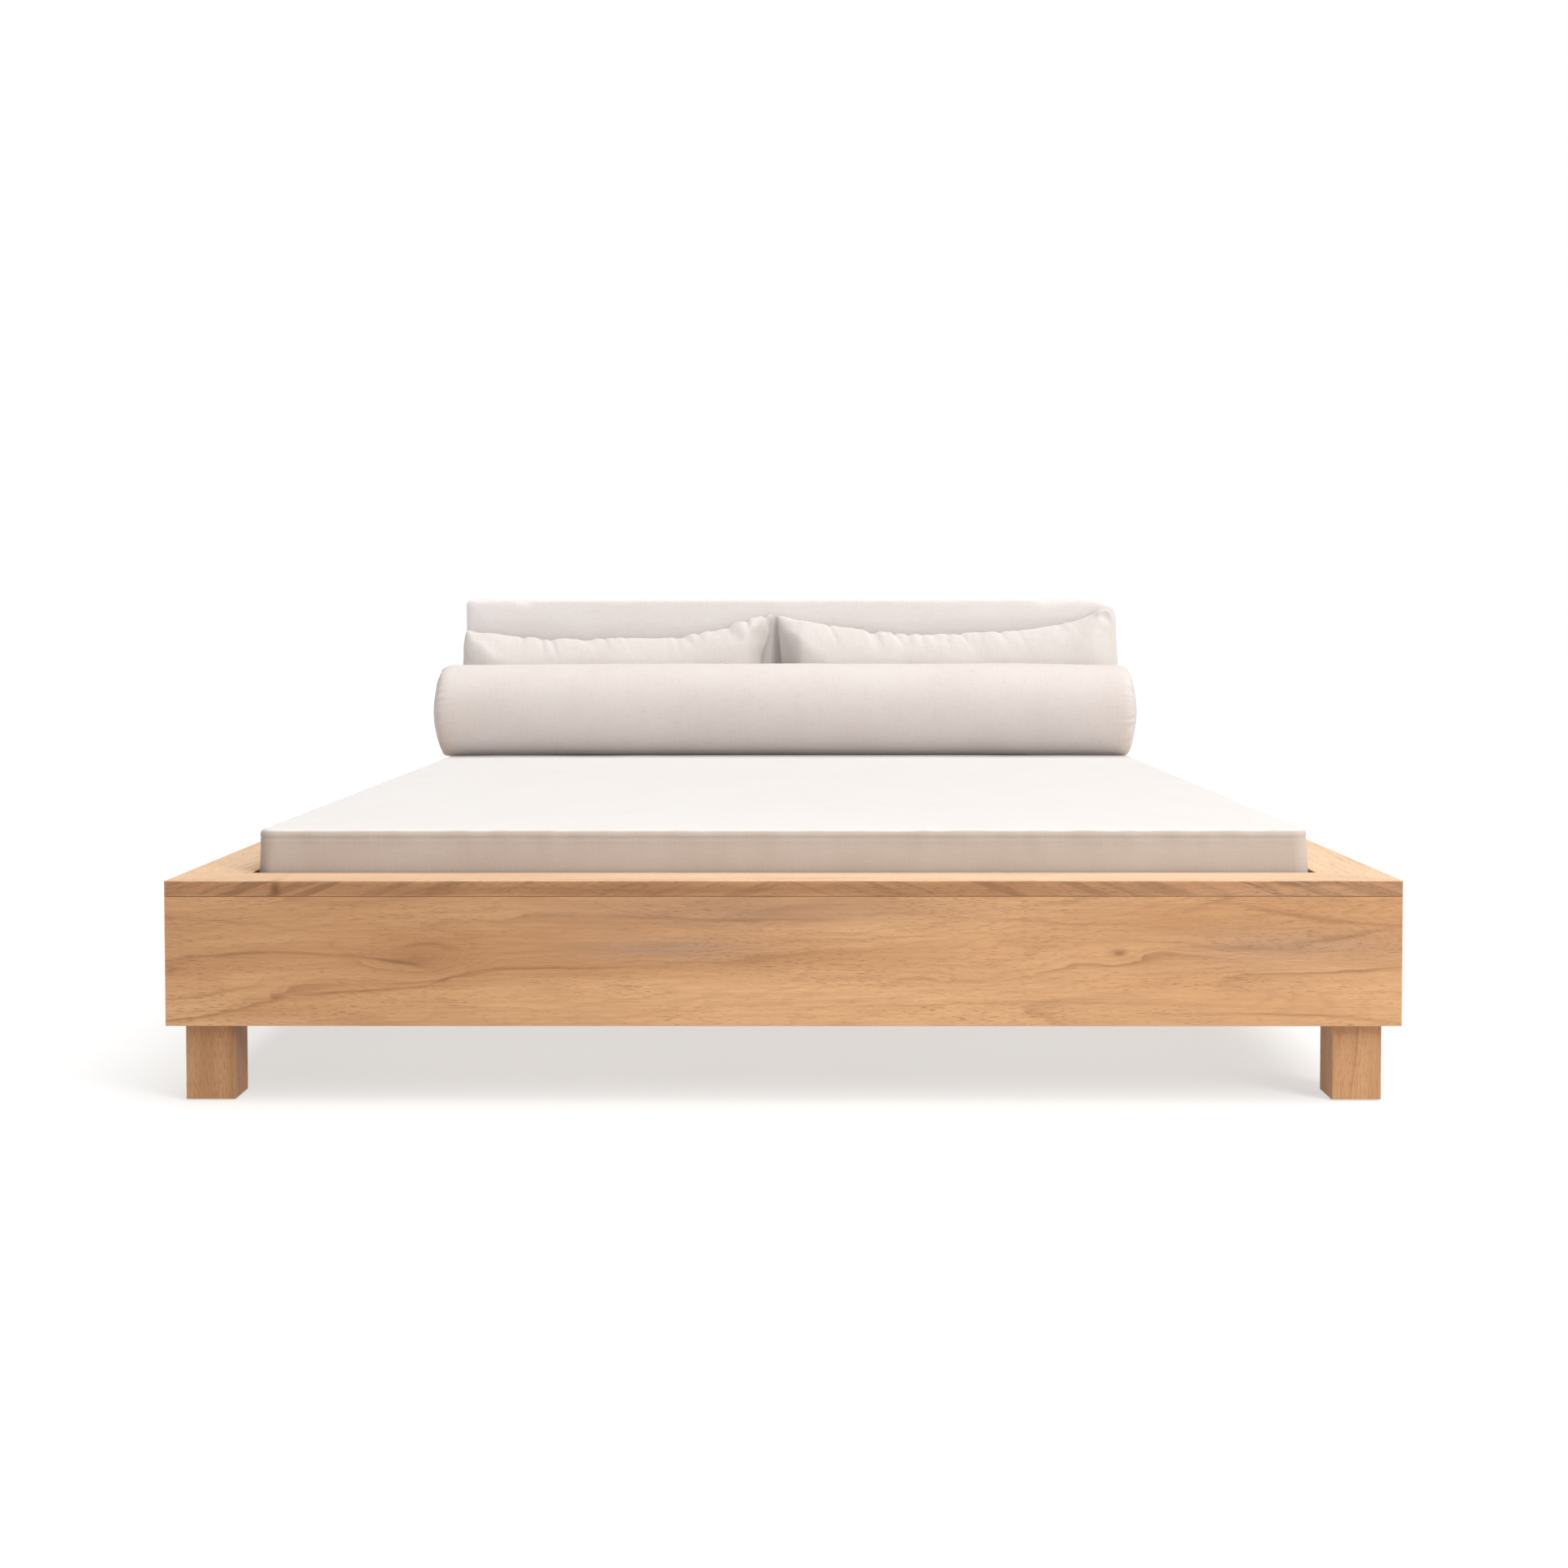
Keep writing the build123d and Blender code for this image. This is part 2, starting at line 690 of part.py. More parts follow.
def build_soft_goods():
    """Write each cover and what fills it."""
    pillows = {
        "pillow_left": (pillow_left_width, pillow_left_heights, -1),
        "pillow_right": (pillow_right_width, pillow_right_heights, 1),
    }
    cover, core = covered(mattress_form)
    save("mattress_cover", cover)
    save("mattress_core", core)
    cover, core = covered(back_cushion_form)
    save("back_cushion_cover", cover)
    save("back_cushion_core", core)
    cover, core = covered(bolster_form)
    save("bolster_cover", cover)
    save("bolster_fill", core)
    for name, sizes in pillows.items():
        cover, core = covered(lambda inset, sizes=sizes: pillow_form(*sizes, inset))
        save(f"{name}_cover", cover)
        save(f"{name}_fill", core)


os.makedirs("parts", exist_ok=True)
build_frame()
build_fittings()
build_soft_goods()
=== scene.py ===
"""A wooden bed frame with its mattress, bolster, two pillows and back cushion, dressed for rendering.

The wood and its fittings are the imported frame's own pieces, each given its finish here. The five soft
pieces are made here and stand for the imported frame's plain soft solids. The mattress is shaped directly,
and the other four are stuffed by cloth simulation.
"""

import logging
import math
from dataclasses import dataclass, replace
from enum import Enum
from functools import cached_property

import bpy
import numpy as np
from mathutils import Euler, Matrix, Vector, noise


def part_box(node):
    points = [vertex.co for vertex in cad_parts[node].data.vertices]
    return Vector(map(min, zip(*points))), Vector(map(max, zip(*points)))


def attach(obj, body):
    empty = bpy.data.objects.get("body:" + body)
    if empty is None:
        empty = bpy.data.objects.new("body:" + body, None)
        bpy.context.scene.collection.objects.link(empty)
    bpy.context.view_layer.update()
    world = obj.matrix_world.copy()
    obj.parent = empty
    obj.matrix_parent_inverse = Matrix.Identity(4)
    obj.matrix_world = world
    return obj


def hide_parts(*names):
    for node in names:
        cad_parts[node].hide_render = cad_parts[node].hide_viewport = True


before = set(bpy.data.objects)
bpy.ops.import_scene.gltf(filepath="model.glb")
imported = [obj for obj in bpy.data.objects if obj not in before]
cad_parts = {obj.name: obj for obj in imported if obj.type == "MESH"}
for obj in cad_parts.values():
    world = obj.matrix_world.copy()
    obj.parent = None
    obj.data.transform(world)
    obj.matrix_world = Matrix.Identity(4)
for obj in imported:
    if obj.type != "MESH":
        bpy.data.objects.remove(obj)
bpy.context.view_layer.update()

LOG = logging.getLogger("bed")
MM = 0.001
QUARTER = math.pi / 2
Colour = tuple[float, float, float]


class Grain(Enum):
    """The way the grain of a board runs, as the turn that lays it along the pattern's X."""

    ALONG_X = (0.0, 0.0, 0.0)
    ALONG_Y = (0.0, 0.0, -QUARTER)
    UPRIGHT = (0.0, QUARTER, 0.0)


class Tone(Enum):
    """The tone of a cloud in the wood, as the name of the finish's colour."""

    GREY = "grey"
    PALE = "light"
    DARK = "line"
    BURNT = "pore"


def only(piece: bpy.types.Object | None) -> None:
    """Selects one object alone and makes it active, or deselects everything."""
    for other in bpy.context.selected_objects:
        other.select_set(False)
    if piece:
        piece.select_set(True)
        bpy.context.view_layer.objects.active = piece


def read_points(piece: bpy.types.Object, normals: bool = False) -> np.ndarray:
    """Reads a mesh's points, or the outward directions at them.

    Args:
        piece: A mesh object that stands at the origin.
        normals: Whether the directions are wanted.

    Returns:
        One row of x, y, z for each point, in metres.
    """
    flat = np.empty(len(piece.data.vertices) * 3)
    if normals:
        piece.data.vertex_normals.foreach_get("vector", flat)
    else:
        piece.data.vertices.foreach_get("co", flat)
    return flat.reshape(-1, 3)


def move_points(piece: bpy.types.Object, points: np.ndarray) -> None:
    """Puts a mesh's points where they are said to be, one row of x, y, z in metres for each."""
    piece.data.vertices.foreach_set("co", points.astype(np.float32).ravel())
    piece.data.update()


def ripple(points: np.ndarray, waves: Colour, seed: float) -> np.ndarray:
    """Smooth random values from about -1 to 1, with so many waves per metre along x, y and z."""
    scaled = points * np.array(waves) + seed
    return np.array([noise.noise(Vector(p)) for p in scaled])


def swell(value: np.ndarray, low: float, high: float) -> np.ndarray:
    """A smooth step: 0 below low and 1 above high."""
    share = np.clip((value - low) / (high - low), 0.0, 1.0)
    return share * share * (3.0 - 2.0 * share)


def hill(distance: np.ndarray, reach: float) -> np.ndarray:
    """A rounded hill: 1 where the distance is 0, falling to nothing past its reach."""
    return np.exp(-(distance / reach) ** 2)


class Wire:
    """A value carried from one shader node to another, which adds and multiplies like a number."""

    def __init__(self, desk: "Desk", socket: bpy.types.NodeSocket) -> None:
        """Keeps the desk and the node's output."""
        self.desk, self.socket = desk, socket

    def __add__(self, other: "Wire | float") -> "Wire":
        """Adds another value or a number."""
        return self.desk.calc("ADD", self, other)

    def __sub__(self, other: "Wire | float") -> "Wire":
        """Takes away another value or a number."""
        return self.desk.calc("SUBTRACT", self, other)

    def __mul__(self, other: "Wire | float") -> "Wire":
        """Multiplies by another value or a number."""
        return self.desk.calc("MULTIPLY", self, other)

    def __truediv__(self, other: "Wire | float") -> "Wire":
        """Divides by another value or a number."""
        return self.desk.calc("DIVIDE", self, other)


class Desk:
    """The shader nodes of one finish, laid out and joined."""

    def __init__(self, name: str, **constants: float | tuple[float, ...]) -> None:
        """Starts a finish with a plain shader.

        Args:
            name: The finish's name.
            constants: Values for the shader's own sockets, with _ for a space in their names.
        """
        self.material = bpy.data.materials.new(name)
        self.material.use_nodes = True
        self.tree = self.material.node_tree
        self.tree.nodes.clear()
        output = self.tree.nodes.new("ShaderNodeOutputMaterial")
        self.shader = self.tree.nodes.new("ShaderNodeBsdfPrincipled")
        self.tree.links.new(self.shader.outputs[0], output.inputs[0])
        self.join(**constants)

    def join(self, **values: Wire | float | tuple[float, ...]) -> bpy.types.Material:
        """Gives the shader's sockets their values.

        Args:
            values: A wire, number or colour for each socket, with _ for a space in its name.

        Returns:
            The material.
        """
        for name, value in values.items():
            self.feed(self.shader.inputs[name.replace("_", " ")], value)
        return self.material

    def add(self, kind: str, inputs: dict, read: int | str = 0, **settings: object) -> Wire:
        """Adds a node.

        Args:
            kind: The node's type, without the leading ShaderNode.
            inputs: A wire, number or colour for each input, by index or name.
            read: Which of its outputs is wanted.
            settings: The node's own settings.

        Returns:
            The wire from that output.
        """
        node = self.tree.nodes.new("ShaderNode" + kind)
        for name, value in settings.items():
            setattr(node, name, value)
        for key, value in inputs.items():
            self.feed(node.inputs[key], value)
        return Wire(self, node.outputs[read])

    def feed(self, socket: bpy.types.NodeSocket, value: object) -> None:
        """Gives an input its value.

        Args:
            socket: The input.
            value: A wire, number or colour.
        """
        if isinstance(value, Wire):
            self.tree.links.new(value.socket, socket)
        else:
            socket.default_value = value

    def calc(self, operation: str, *values: Wire | float, clamp: bool = False) -> Wire:
        """Does one step of arithmetic, such as ADD, on one to three values."""
        return self.add("Math", dict(enumerate(values)), operation=operation, use_clamp=clamp)

    def parts(self, place: Wire) -> list[Wire]:
        """Splits a place or direction into x, y and z."""
        return [Wire(self, part) for part in self.add("SeparateXYZ", {0: place}).socket.node.outputs]

    def place(self) -> Wire:
        """The point of the surface, in the object's own metres."""
        return self.add("TexCoord", {}, "Object")

    def level(self) -> Wire:
        """How level the surface is, from 0 on an upright one to 1."""
        return self.calc("ABSOLUTE", self.parts(self.add("TexCoord", {}, "Normal"))[2])

    def cloud(self, place: Wire, by: Colour, detail: float = 2.0, rough: float = 0.5) -> Wire:
        """A noise from 0 to 1, with so many waves per metre along x, y and z."""
        stretched = self.add("VectorMath", {0: place, 1: by}, operation="MULTIPLY")
        inputs = {"Vector": stretched, "Scale": 1.0, "Detail": detail, "Roughness": rough}
        return self.add("TexNoise", inputs)

    def between(self, value: Wire, low: float, high: float, start: float = 0.0, end: float = 1.0) -> Wire:
        """A smooth step that is start where the value is low, and end where it is high."""
        inputs = {0: value, 1: low, 2: high, 3: start, 4: end}
        return self.add("MapRange", inputs, interpolation_type="SMOOTHSTEP")

    def mix(self, share: Wire | float, first: Wire | Colour, second: Wire | Colour,
            blend: str = "MIX") -> Wire:
        """Mixes two colours, where share is how much there is of the second."""
        first, second = ((*c, 1.0) if isinstance(c, tuple) else c for c in (first, second))
        return self.add("Mix", {0: share, 6: first, 7: second}, 2, data_type="RGBA", blend_type=blend)

    def bump(self, relief: Wire, depth: float, strength: float) -> Wire:
        """The direction of a surface with a relief from 0 to 1, so many metres deep."""
        return self.add("Bump", {"Height": relief, "Distance": depth, "Strength": strength})


@dataclass(frozen=True)
class Knot:
    """A knot at a place along and up its board, with its swirl's reach and how far it lifts the rings."""

    along: float
    up: float
    reach: float
    height: float
    lift: float
    dark: float


@dataclass(frozen=True)
class Cloud:
    """A patch of another tone, at a place along and up its board.

    A flat burnt one is a vein, which may slope and bow. Some broad dark ones are painted shade.
    """

    along: float
    up: float
    reach: float
    height: float
    share: float
    slope: float = 0.0
    bow: float = 0.0
    tone: Tone = Tone.BURNT


@dataclass(frozen=True)
class WoodFinish:
    """Oiled wood: growth rings, fibres, short pores, clouds, knots and softened arrises, with painted shade
    along the joint under the top boards and in some dark clouds.
    """

    name: str
    light: Colour
    deep: Colour
    line: Colour
    pore: Colour
    grey: Colour
    ring: float = 0.015
    line_share: float = 0.55
    pore_share: float = 0.42
    rough: float = 0.52
    tilt: float = 0.018
    sway: float = 0.060
    side: Colour | None = None
    side_share: float = 0.0
    # the height of the joint under the top boards, along which a painted shade line is drawn
    joint: float | None = None

    def gauss(self, desk: Desk, along: Wire, up: Wire, spot: Knot | Cloud) -> Wire:
        """A soft spot round a place on a board.

        Args:
            desk: Where the nodes go.
            along: The place along the grain.
            up: The place across it.
            spot: The knot or cloud.

        Returns:
            1 at the spot's middle, falling off to 0.
        """
        away, rise = along - spot.along, up - spot.up
        if isinstance(spot, Cloud) and (spot.slope or spot.bow):
            rise = rise - away * desk.calc("MULTIPLY_ADD", away, spot.bow, spot.slope)
        first, second = away / spot.reach, rise / spot.height
        return desk.calc("EXPONENT", (first * first + second * second) * -1.0)

    def arris(self, desk: Desk, place: Wire, node: str) -> Wire:
        """How near a point of a board is to one of its edges.

        Args:
            desk: Where the nodes go.
            place: The point.
            node: The board's name.

        Returns:
            1 on an edge, falling to 0 a few millimetres away.
        """
        low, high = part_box(node)
        away = desk.add("VectorMath", {0: place, 1: tuple((low + high) / 2)}, operation="SUBTRACT")
        away = desk.add("VectorMath", {0: away}, operation="ABSOLUTE")
        left = desk.add("VectorMath", {0: tuple((high - low) / 2), 1: away}, operation="SUBTRACT")
        x, y, z = desk.parts(left)
        distance = desk.calc("MAXIMUM", desk.calc("MINIMUM", x, y),
                             desk.calc("MINIMUM", desk.calc("MAXIMUM", x, y), z))
        return desk.between(distance, 0.4 * MM, 3.2 * MM, 1.0, 0.0)

    def figure(self, desk: Desk, axes: list[Wire], line: Wire, pore: Wire, broad: Wire) -> Wire:
        """The figure on a board's edge, where the rings come out as slanting strokes.

        Args:
            desk: Where the nodes go.
            axes: The place along, across and up the board.
            line: The growth lines.
            pore: The pores.
            broad: The slow change of tone.

        Returns:
            The colour of the edge.
        """
        u, v, w = axes
        from_middle = desk.calc("ABSOLUTE", u)
        slant = desk.calc("MULTIPLY_ADD", from_middle, 0.34, w)
        place = desk.add("CombineXYZ", {0: u, 1: v, 2: slant})
        stroke = desk.between(desk.cloud(place, (6.0, 6.0, 85.0), 3.0, 0.6), 0.47, 0.60)
        patchy = desk.between(desk.cloud(place, (3.0, 3.0, 3.0), 1.0), 0.40, 0.56, 0.35, 0.95)
        patchy = patchy * desk.between(from_middle, 0.12, 0.50, 0.12, 1.0)
        colour = desk.mix(line * self.line_share, self.side, self.line)
        colour = desk.mix(stroke * patchy, colour, self.line)
        colour = desk.mix(desk.calc("POWER", stroke, 4.0) * 0.4, colour, self.pore)
        colour = desk.mix(pore * self.pore_share, colour, self.pore)
        return desk.mix(broad * 0.35, colour, self.grey)

    def rings(self, desk: Desk, radius: Wire, moved: Wire) -> Wire:
        """The growth lines.

        Args:
            desk: Where the nodes go.
            radius: How far a point is from the middle of the log.
            moved: The point.

        Returns:
            From 0 between the lines to 1 on a strong one.
        """
        phase = desk.calc("FRACT", radius / self.ring)
        early = desk.between(phase, 0.30, 0.92) * 0.30
        late = desk.between(phase, 0.80, 0.94) * 0.70 + early
        line = late * desk.between(phase, 0.95, 1.0, 1.0, 0.0)
        line = line * desk.between(desk.cloud(moved, (1.9, 13.0, 13.0)), 0.40, 0.64, 0.10, 1.0)
        fine = desk.calc("FRACT", radius / (self.ring * 0.23))
        fine = desk.between(fine, 0.4, 0.9) * desk.between(fine, 0.92, 1.0, 1.0, 0.0)
        return desk.calc("MAXIMUM", line, fine * 0.26)

    def make(self, node: str, grain: Grain, seed: int, knots: tuple[Knot, ...] = (),
             clouds: tuple[Cloud, ...] = ()) -> bpy.types.Material:
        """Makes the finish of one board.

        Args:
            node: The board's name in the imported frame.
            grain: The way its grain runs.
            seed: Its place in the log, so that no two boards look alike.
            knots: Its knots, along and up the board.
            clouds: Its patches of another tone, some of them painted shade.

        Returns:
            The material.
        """
        desk = Desk(f"{self.name}_{node}", Specular_IOR_Level=0.26)
        place = desk.place()
        turned = desk.add("Mapping", {"Vector": place, "Rotation": grain.value})
        u, v, w = desk.parts(turned)
        moved = desk.add("Mapping", {"Vector": turned, "Location": (seed * 1.37, seed * 0.71, seed * 0.43)})
        slow = desk.cloud(moved, (0.9, 4.0, 4.0)) - 0.5
        wavy = desk.cloud(moved, (4.5, 22.0, 22.0)) - 0.5
        rag = desk.cloud(moved, (30.0, 160.0, 160.0)) - 0.5
        off_axis = v + (u * self.tilt + (0.10 + 0.013 * (seed % 5))) + slow * self.sway
        rise = w - (0.02 + 0.011 * (seed % 4))
        radius = desk.calc("SQRT", off_axis * off_axis + rise * rise) + wavy * 0.016 + rag * 0.003
        dark: Wire | float = 0.0
        for knot in knots:
            radius = radius + self.gauss(desk, u, w, knot) * knot.lift
            core = replace(knot, reach=knot.reach * 0.3, height=knot.height * 0.4)
            dark = self.gauss(desk, u, w, core) * knot.dark + dark
        line = self.rings(desk, radius, moved)
        broad = desk.between(desk.cloud(moved, (1.1, 9.0, 9.0), 3.0, 0.6), 0.3, 0.7)
        fibre = desk.cloud(moved, (11.0, 330.0, 330.0), 4.0, 0.65)
        thick = desk.between(desk.cloud(moved, (4.0, 26.0, 26.0), 1.0), 0.36, 0.66, 0.35, 1.0)
        pore = desk.between(desk.cloud(moved, (70.0, 900.0, 900.0), 1.0), 0.56, 0.70) * thick
        colour = desk.mix(broad, self.light, self.deep)
        colour = desk.mix(line * self.line_share, colour, self.line)
        # Level faces keep the light and deep colours and upright faces take the edge figure; on the top
        # boards the pale level colours are painted sheen.
        if self.side:
            colour = desk.mix(desk.between(desk.level(), 0.2, 0.8, self.side_share, 0.0), colour,
                              self.figure(desk, [u, v, w], line, pore, broad))
        wander = desk.calc("MULTIPLY_ADD", wavy, 0.022, w) + rag * 0.006
        strength = desk.between(broad, 0.0, 1.0, 0.6, 1.0)
        # Some clouds are painted shade rather than the wood's own tone.
        for patch in clouds:
            share = self.gauss(desk, u, wander, patch) * patch.share * strength
            colour = desk.mix(share, colour, getattr(self, patch.tone.value))
        colour = desk.mix(pore * self.pore_share, colour, self.pore)
        colour = desk.mix(desk.calc("MINIMUM", dark, 0.7), colour, self.pore)
        streak = desk.between(fibre, 0.3, 0.7, 0.925, 1.055)
        streaks = desk.add("CombineColor", {0: streak, 1: streak, 2: streak})
        colour = desk.mix(1.0, colour, streaks, "MULTIPLY")
        edge = self.arris(desk, place, node)
        worn = edge * desk.between(fibre, 0.35, 0.65, 0.06, 0.24)
        colour = desk.mix(worn, colour, self.light)
        if self.joint is not None:
            # painted shade: a dark line along the joint where the top boards lie on the rails
            away = desk.calc("ABSOLUTE", desk.parts(place)[2] - self.joint)
            joint_shade = desk.between(away, 0.3 * MM, 1.5 * MM, 1.0, 0.0)
            joint_shade = joint_shade * desk.between(slow, -0.15, 0.15, 0.45, 0.95)
            colour = desk.mix(joint_shade, colour, self.pore)
        rough = desk.between(pore, 0.0, 1.0, self.rough, self.rough + 0.18) - edge * 0.08
        relief = fibre * 0.4 - pore - line * 0.35
        return desk.join(Base_Color=colour, Roughness=rough, Normal=desk.bump(relief, 0.25 * MM, 0.5))


@dataclass(frozen=True)
class MetalFinish:
    """Metal with a fine brushed or dipped surface."""

    name: str
    colour: Colour
    dull: Colour
    rough: float

    def make(self) -> bpy.types.Material:
        """Makes the material.

        Returns:
            The material.
        """
        desk = Desk(self.name, Metallic=1.0)
        place = desk.place()
        spangle = desk.cloud(place, (140.0, 140.0, 140.0), 3.0, 0.6)
        brushed = desk.cloud(place, (900.0, 900.0, 120.0))
        return desk.join(Base_Color=desk.mix(desk.between(spangle, 0.35, 0.7), self.colour, self.dull),
                         Roughness=desk.between(spangle, 0.3, 0.7, self.rough - 0.08, self.rough + 0.12),
                         Normal=desk.bump(brushed, 0.05 * MM, 0.4))


@dataclass(frozen=True)
class CoatFinish:
    """Moulded plastic or a powder coat, with a fine pebbled surface."""

    name: str
    colour: Colour
    scuffed: Colour
    rough: float

    def make(self) -> bpy.types.Material:
        """Makes the material.

        Returns:
            The material.
        """
        desk = Desk(self.name, Specular_IOR_Level=0.45)
        place = desk.place()
        pebble = desk.cloud(place, (1100.0, 1100.0, 1100.0))
        scuff = desk.between(desk.cloud(place, (60.0, 60.0, 60.0), 4.0, 0.7), 0.55, 0.75)
        return desk.join(Base_Color=desk.mix(scuff * 0.5, self.colour, self.scuffed),
                         Roughness=desk.between(pebble, 0.3, 0.7, self.rough - 0.06, self.rough + 0.1),
                         Normal=desk.bump(pebble, 0.08 * MM, 0.5))


@dataclass(frozen=True)
class ClothFinish:
    """Plain woven cloth with slubs, read from the cloth's own layout so that it follows the piece. Its side
    colour paints shade on upright faces.
    """

    name: str
    colour: Colour
    shade: Colour
    thread: float = 1.1 * MM
    slub: float = 0.35
    sheen: float = 0.12
    rough: float = 0.86
    # the colour of upright faces: painted shade, as the light comes from above
    side: Colour | None = None

    def make(self) -> bpy.types.Material:
        """Makes the material.

        Returns:
            The material.
        """
        desk = Desk(self.name, Sheen_Weight=self.sheen, Sheen_Roughness=0.45, Specular_IOR_Level=0.22)
        place = desk.add("UVMap", {}, uv_map="cloth")
        turn = 2.0 * math.pi / self.thread
        warp, weft = (desk.calc("SINE", way * turn) for way in desk.parts(place)[:2])
        weave = desk.calc("MULTIPLY_ADD", warp * weft, 0.5, 0.5)
        across = desk.cloud(place, (26.0, 620.0, 1.0), 2.0, 0.6)
        along = desk.cloud(place, (620.0, 26.0, 1.0), 2.0, 0.6)
        slubs = desk.between(across, 0.52, 0.72) + desk.between(along, 0.52, 0.72)
        broad = desk.between(desk.cloud(place, (7.0, 7.0, 1.0), 3.0), 0.3, 0.7)
        share = desk.calc("ADD", slubs * self.slub + broad * 0.16, weave * 0.12, clamp=True)
        colour = desk.mix(share, self.colour, self.shade)
        # painted shade: upright faces turn to the darker side colour
        if self.side:
            colour = desk.mix(desk.between(desk.level(), 0.50, 0.97, 1.0, 0.0), colour,
                              desk.mix(share, self.side, self.shade))
        rough = desk.between(slubs, 0.0, 1.0, self.rough, self.rough - 0.08)
        relief = weave * 0.5 + slubs * 0.5
        return desk.join(Base_Color=colour, Roughness=rough, Normal=desk.bump(relief, 0.22 * MM, 0.55))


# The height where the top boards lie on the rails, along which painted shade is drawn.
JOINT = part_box("rail_front")[1].z
TEAK = WoodFinish("teak", light=(0.628, 0.366, 0.187), deep=(0.482, 0.254, 0.118),
                  line=(0.262, 0.112, 0.042), pore=(0.180, 0.076, 0.028), grey=(0.390, 0.244, 0.162),
                  joint=JOINT)
# Painted sheen: the top boards' pale, dull light and deep colours stand in for the sheen on their tops; the
# darker side colour is their edges' own grain.
TEAK_LEDGE_SHEEN = WoodFinish("ledge", light=(0.752, 0.532, 0.358), deep=(0.694, 0.466, 0.292),
                        line=(0.262, 0.122, 0.053), pore=(0.160, 0.070, 0.030), grey=(0.286, 0.149, 0.074),
                        tilt=0.05, sway=0.06, line_share=0.45, side=(0.460, 0.236, 0.110), side_share=0.95,
                        joint=JOINT)
# Painted shade: the legs take the rails' teak made darker, for the shade under the rail.
TEAK_LEG_SHADED = WoodFinish("leg", light=(0.545, 0.302, 0.148), deep=(0.428, 0.220, 0.102),
                      line=(0.247, 0.116, 0.052), pore=(0.160, 0.074, 0.030), grey=(0.318, 0.199, 0.131),
                      tilt=0.10, pore_share=0.6)
PLAIN_WOOD = WoodFinish("spruce", light=(0.68, 0.535, 0.357), deep=(0.61, 0.45, 0.28),
                        line=(0.425, 0.263, 0.128), pore=(0.38, 0.238, 0.119), grey=(0.51, 0.408, 0.289),
                        ring=0.009, line_share=0.5, pore_share=0.12, rough=0.62)
ZINC = MetalFinish("zinc", (0.62, 0.63, 0.62), (0.44, 0.45, 0.46), 0.36)
BRASS = MetalFinish("brass", (0.76, 0.56, 0.25), (0.55, 0.38, 0.16), 0.32)
POWDER = CoatFinish("powder_coat", (0.028, 0.028, 0.030), (0.11, 0.11, 0.11), 0.5)
PLASTIC = CoatFinish("pad_plastic", (0.050, 0.042, 0.036), (0.16, 0.14, 0.12), 0.58)
LINEN = ClothFinish("linen", (0.668, 0.628, 0.610), (0.550, 0.484, 0.448))
# Painted shade: the bolster's linen is a warmer copy of the pillows', for the warm shade on its underside.
ROLL_LINEN_WARM_SHADE = ClothFinish("roll_linen_warm_shade", (0.672, 0.622, 0.602), (0.556, 0.478, 0.434))
# Painted light: the back cushion's linen is a paler copy of the pillows', so the cushion behind the pillows
# reads brighter.
BACK_LINEN_PAINTED_LIGHT = ClothFinish("back_linen_painted_light", (0.772, 0.738, 0.730), (0.650, 0.588, 0.556))
# Painted shade: the mattress's upright boxing takes the darker side colour.
COTTON_WITH_SHADED_SIDES = ClothFinish("cotton", (0.688, 0.669, 0.660), (0.628, 0.594, 0.568), thread=0.7 * MM, slub=0.12,
                     sheen=0.08, side=(0.466, 0.397, 0.350))


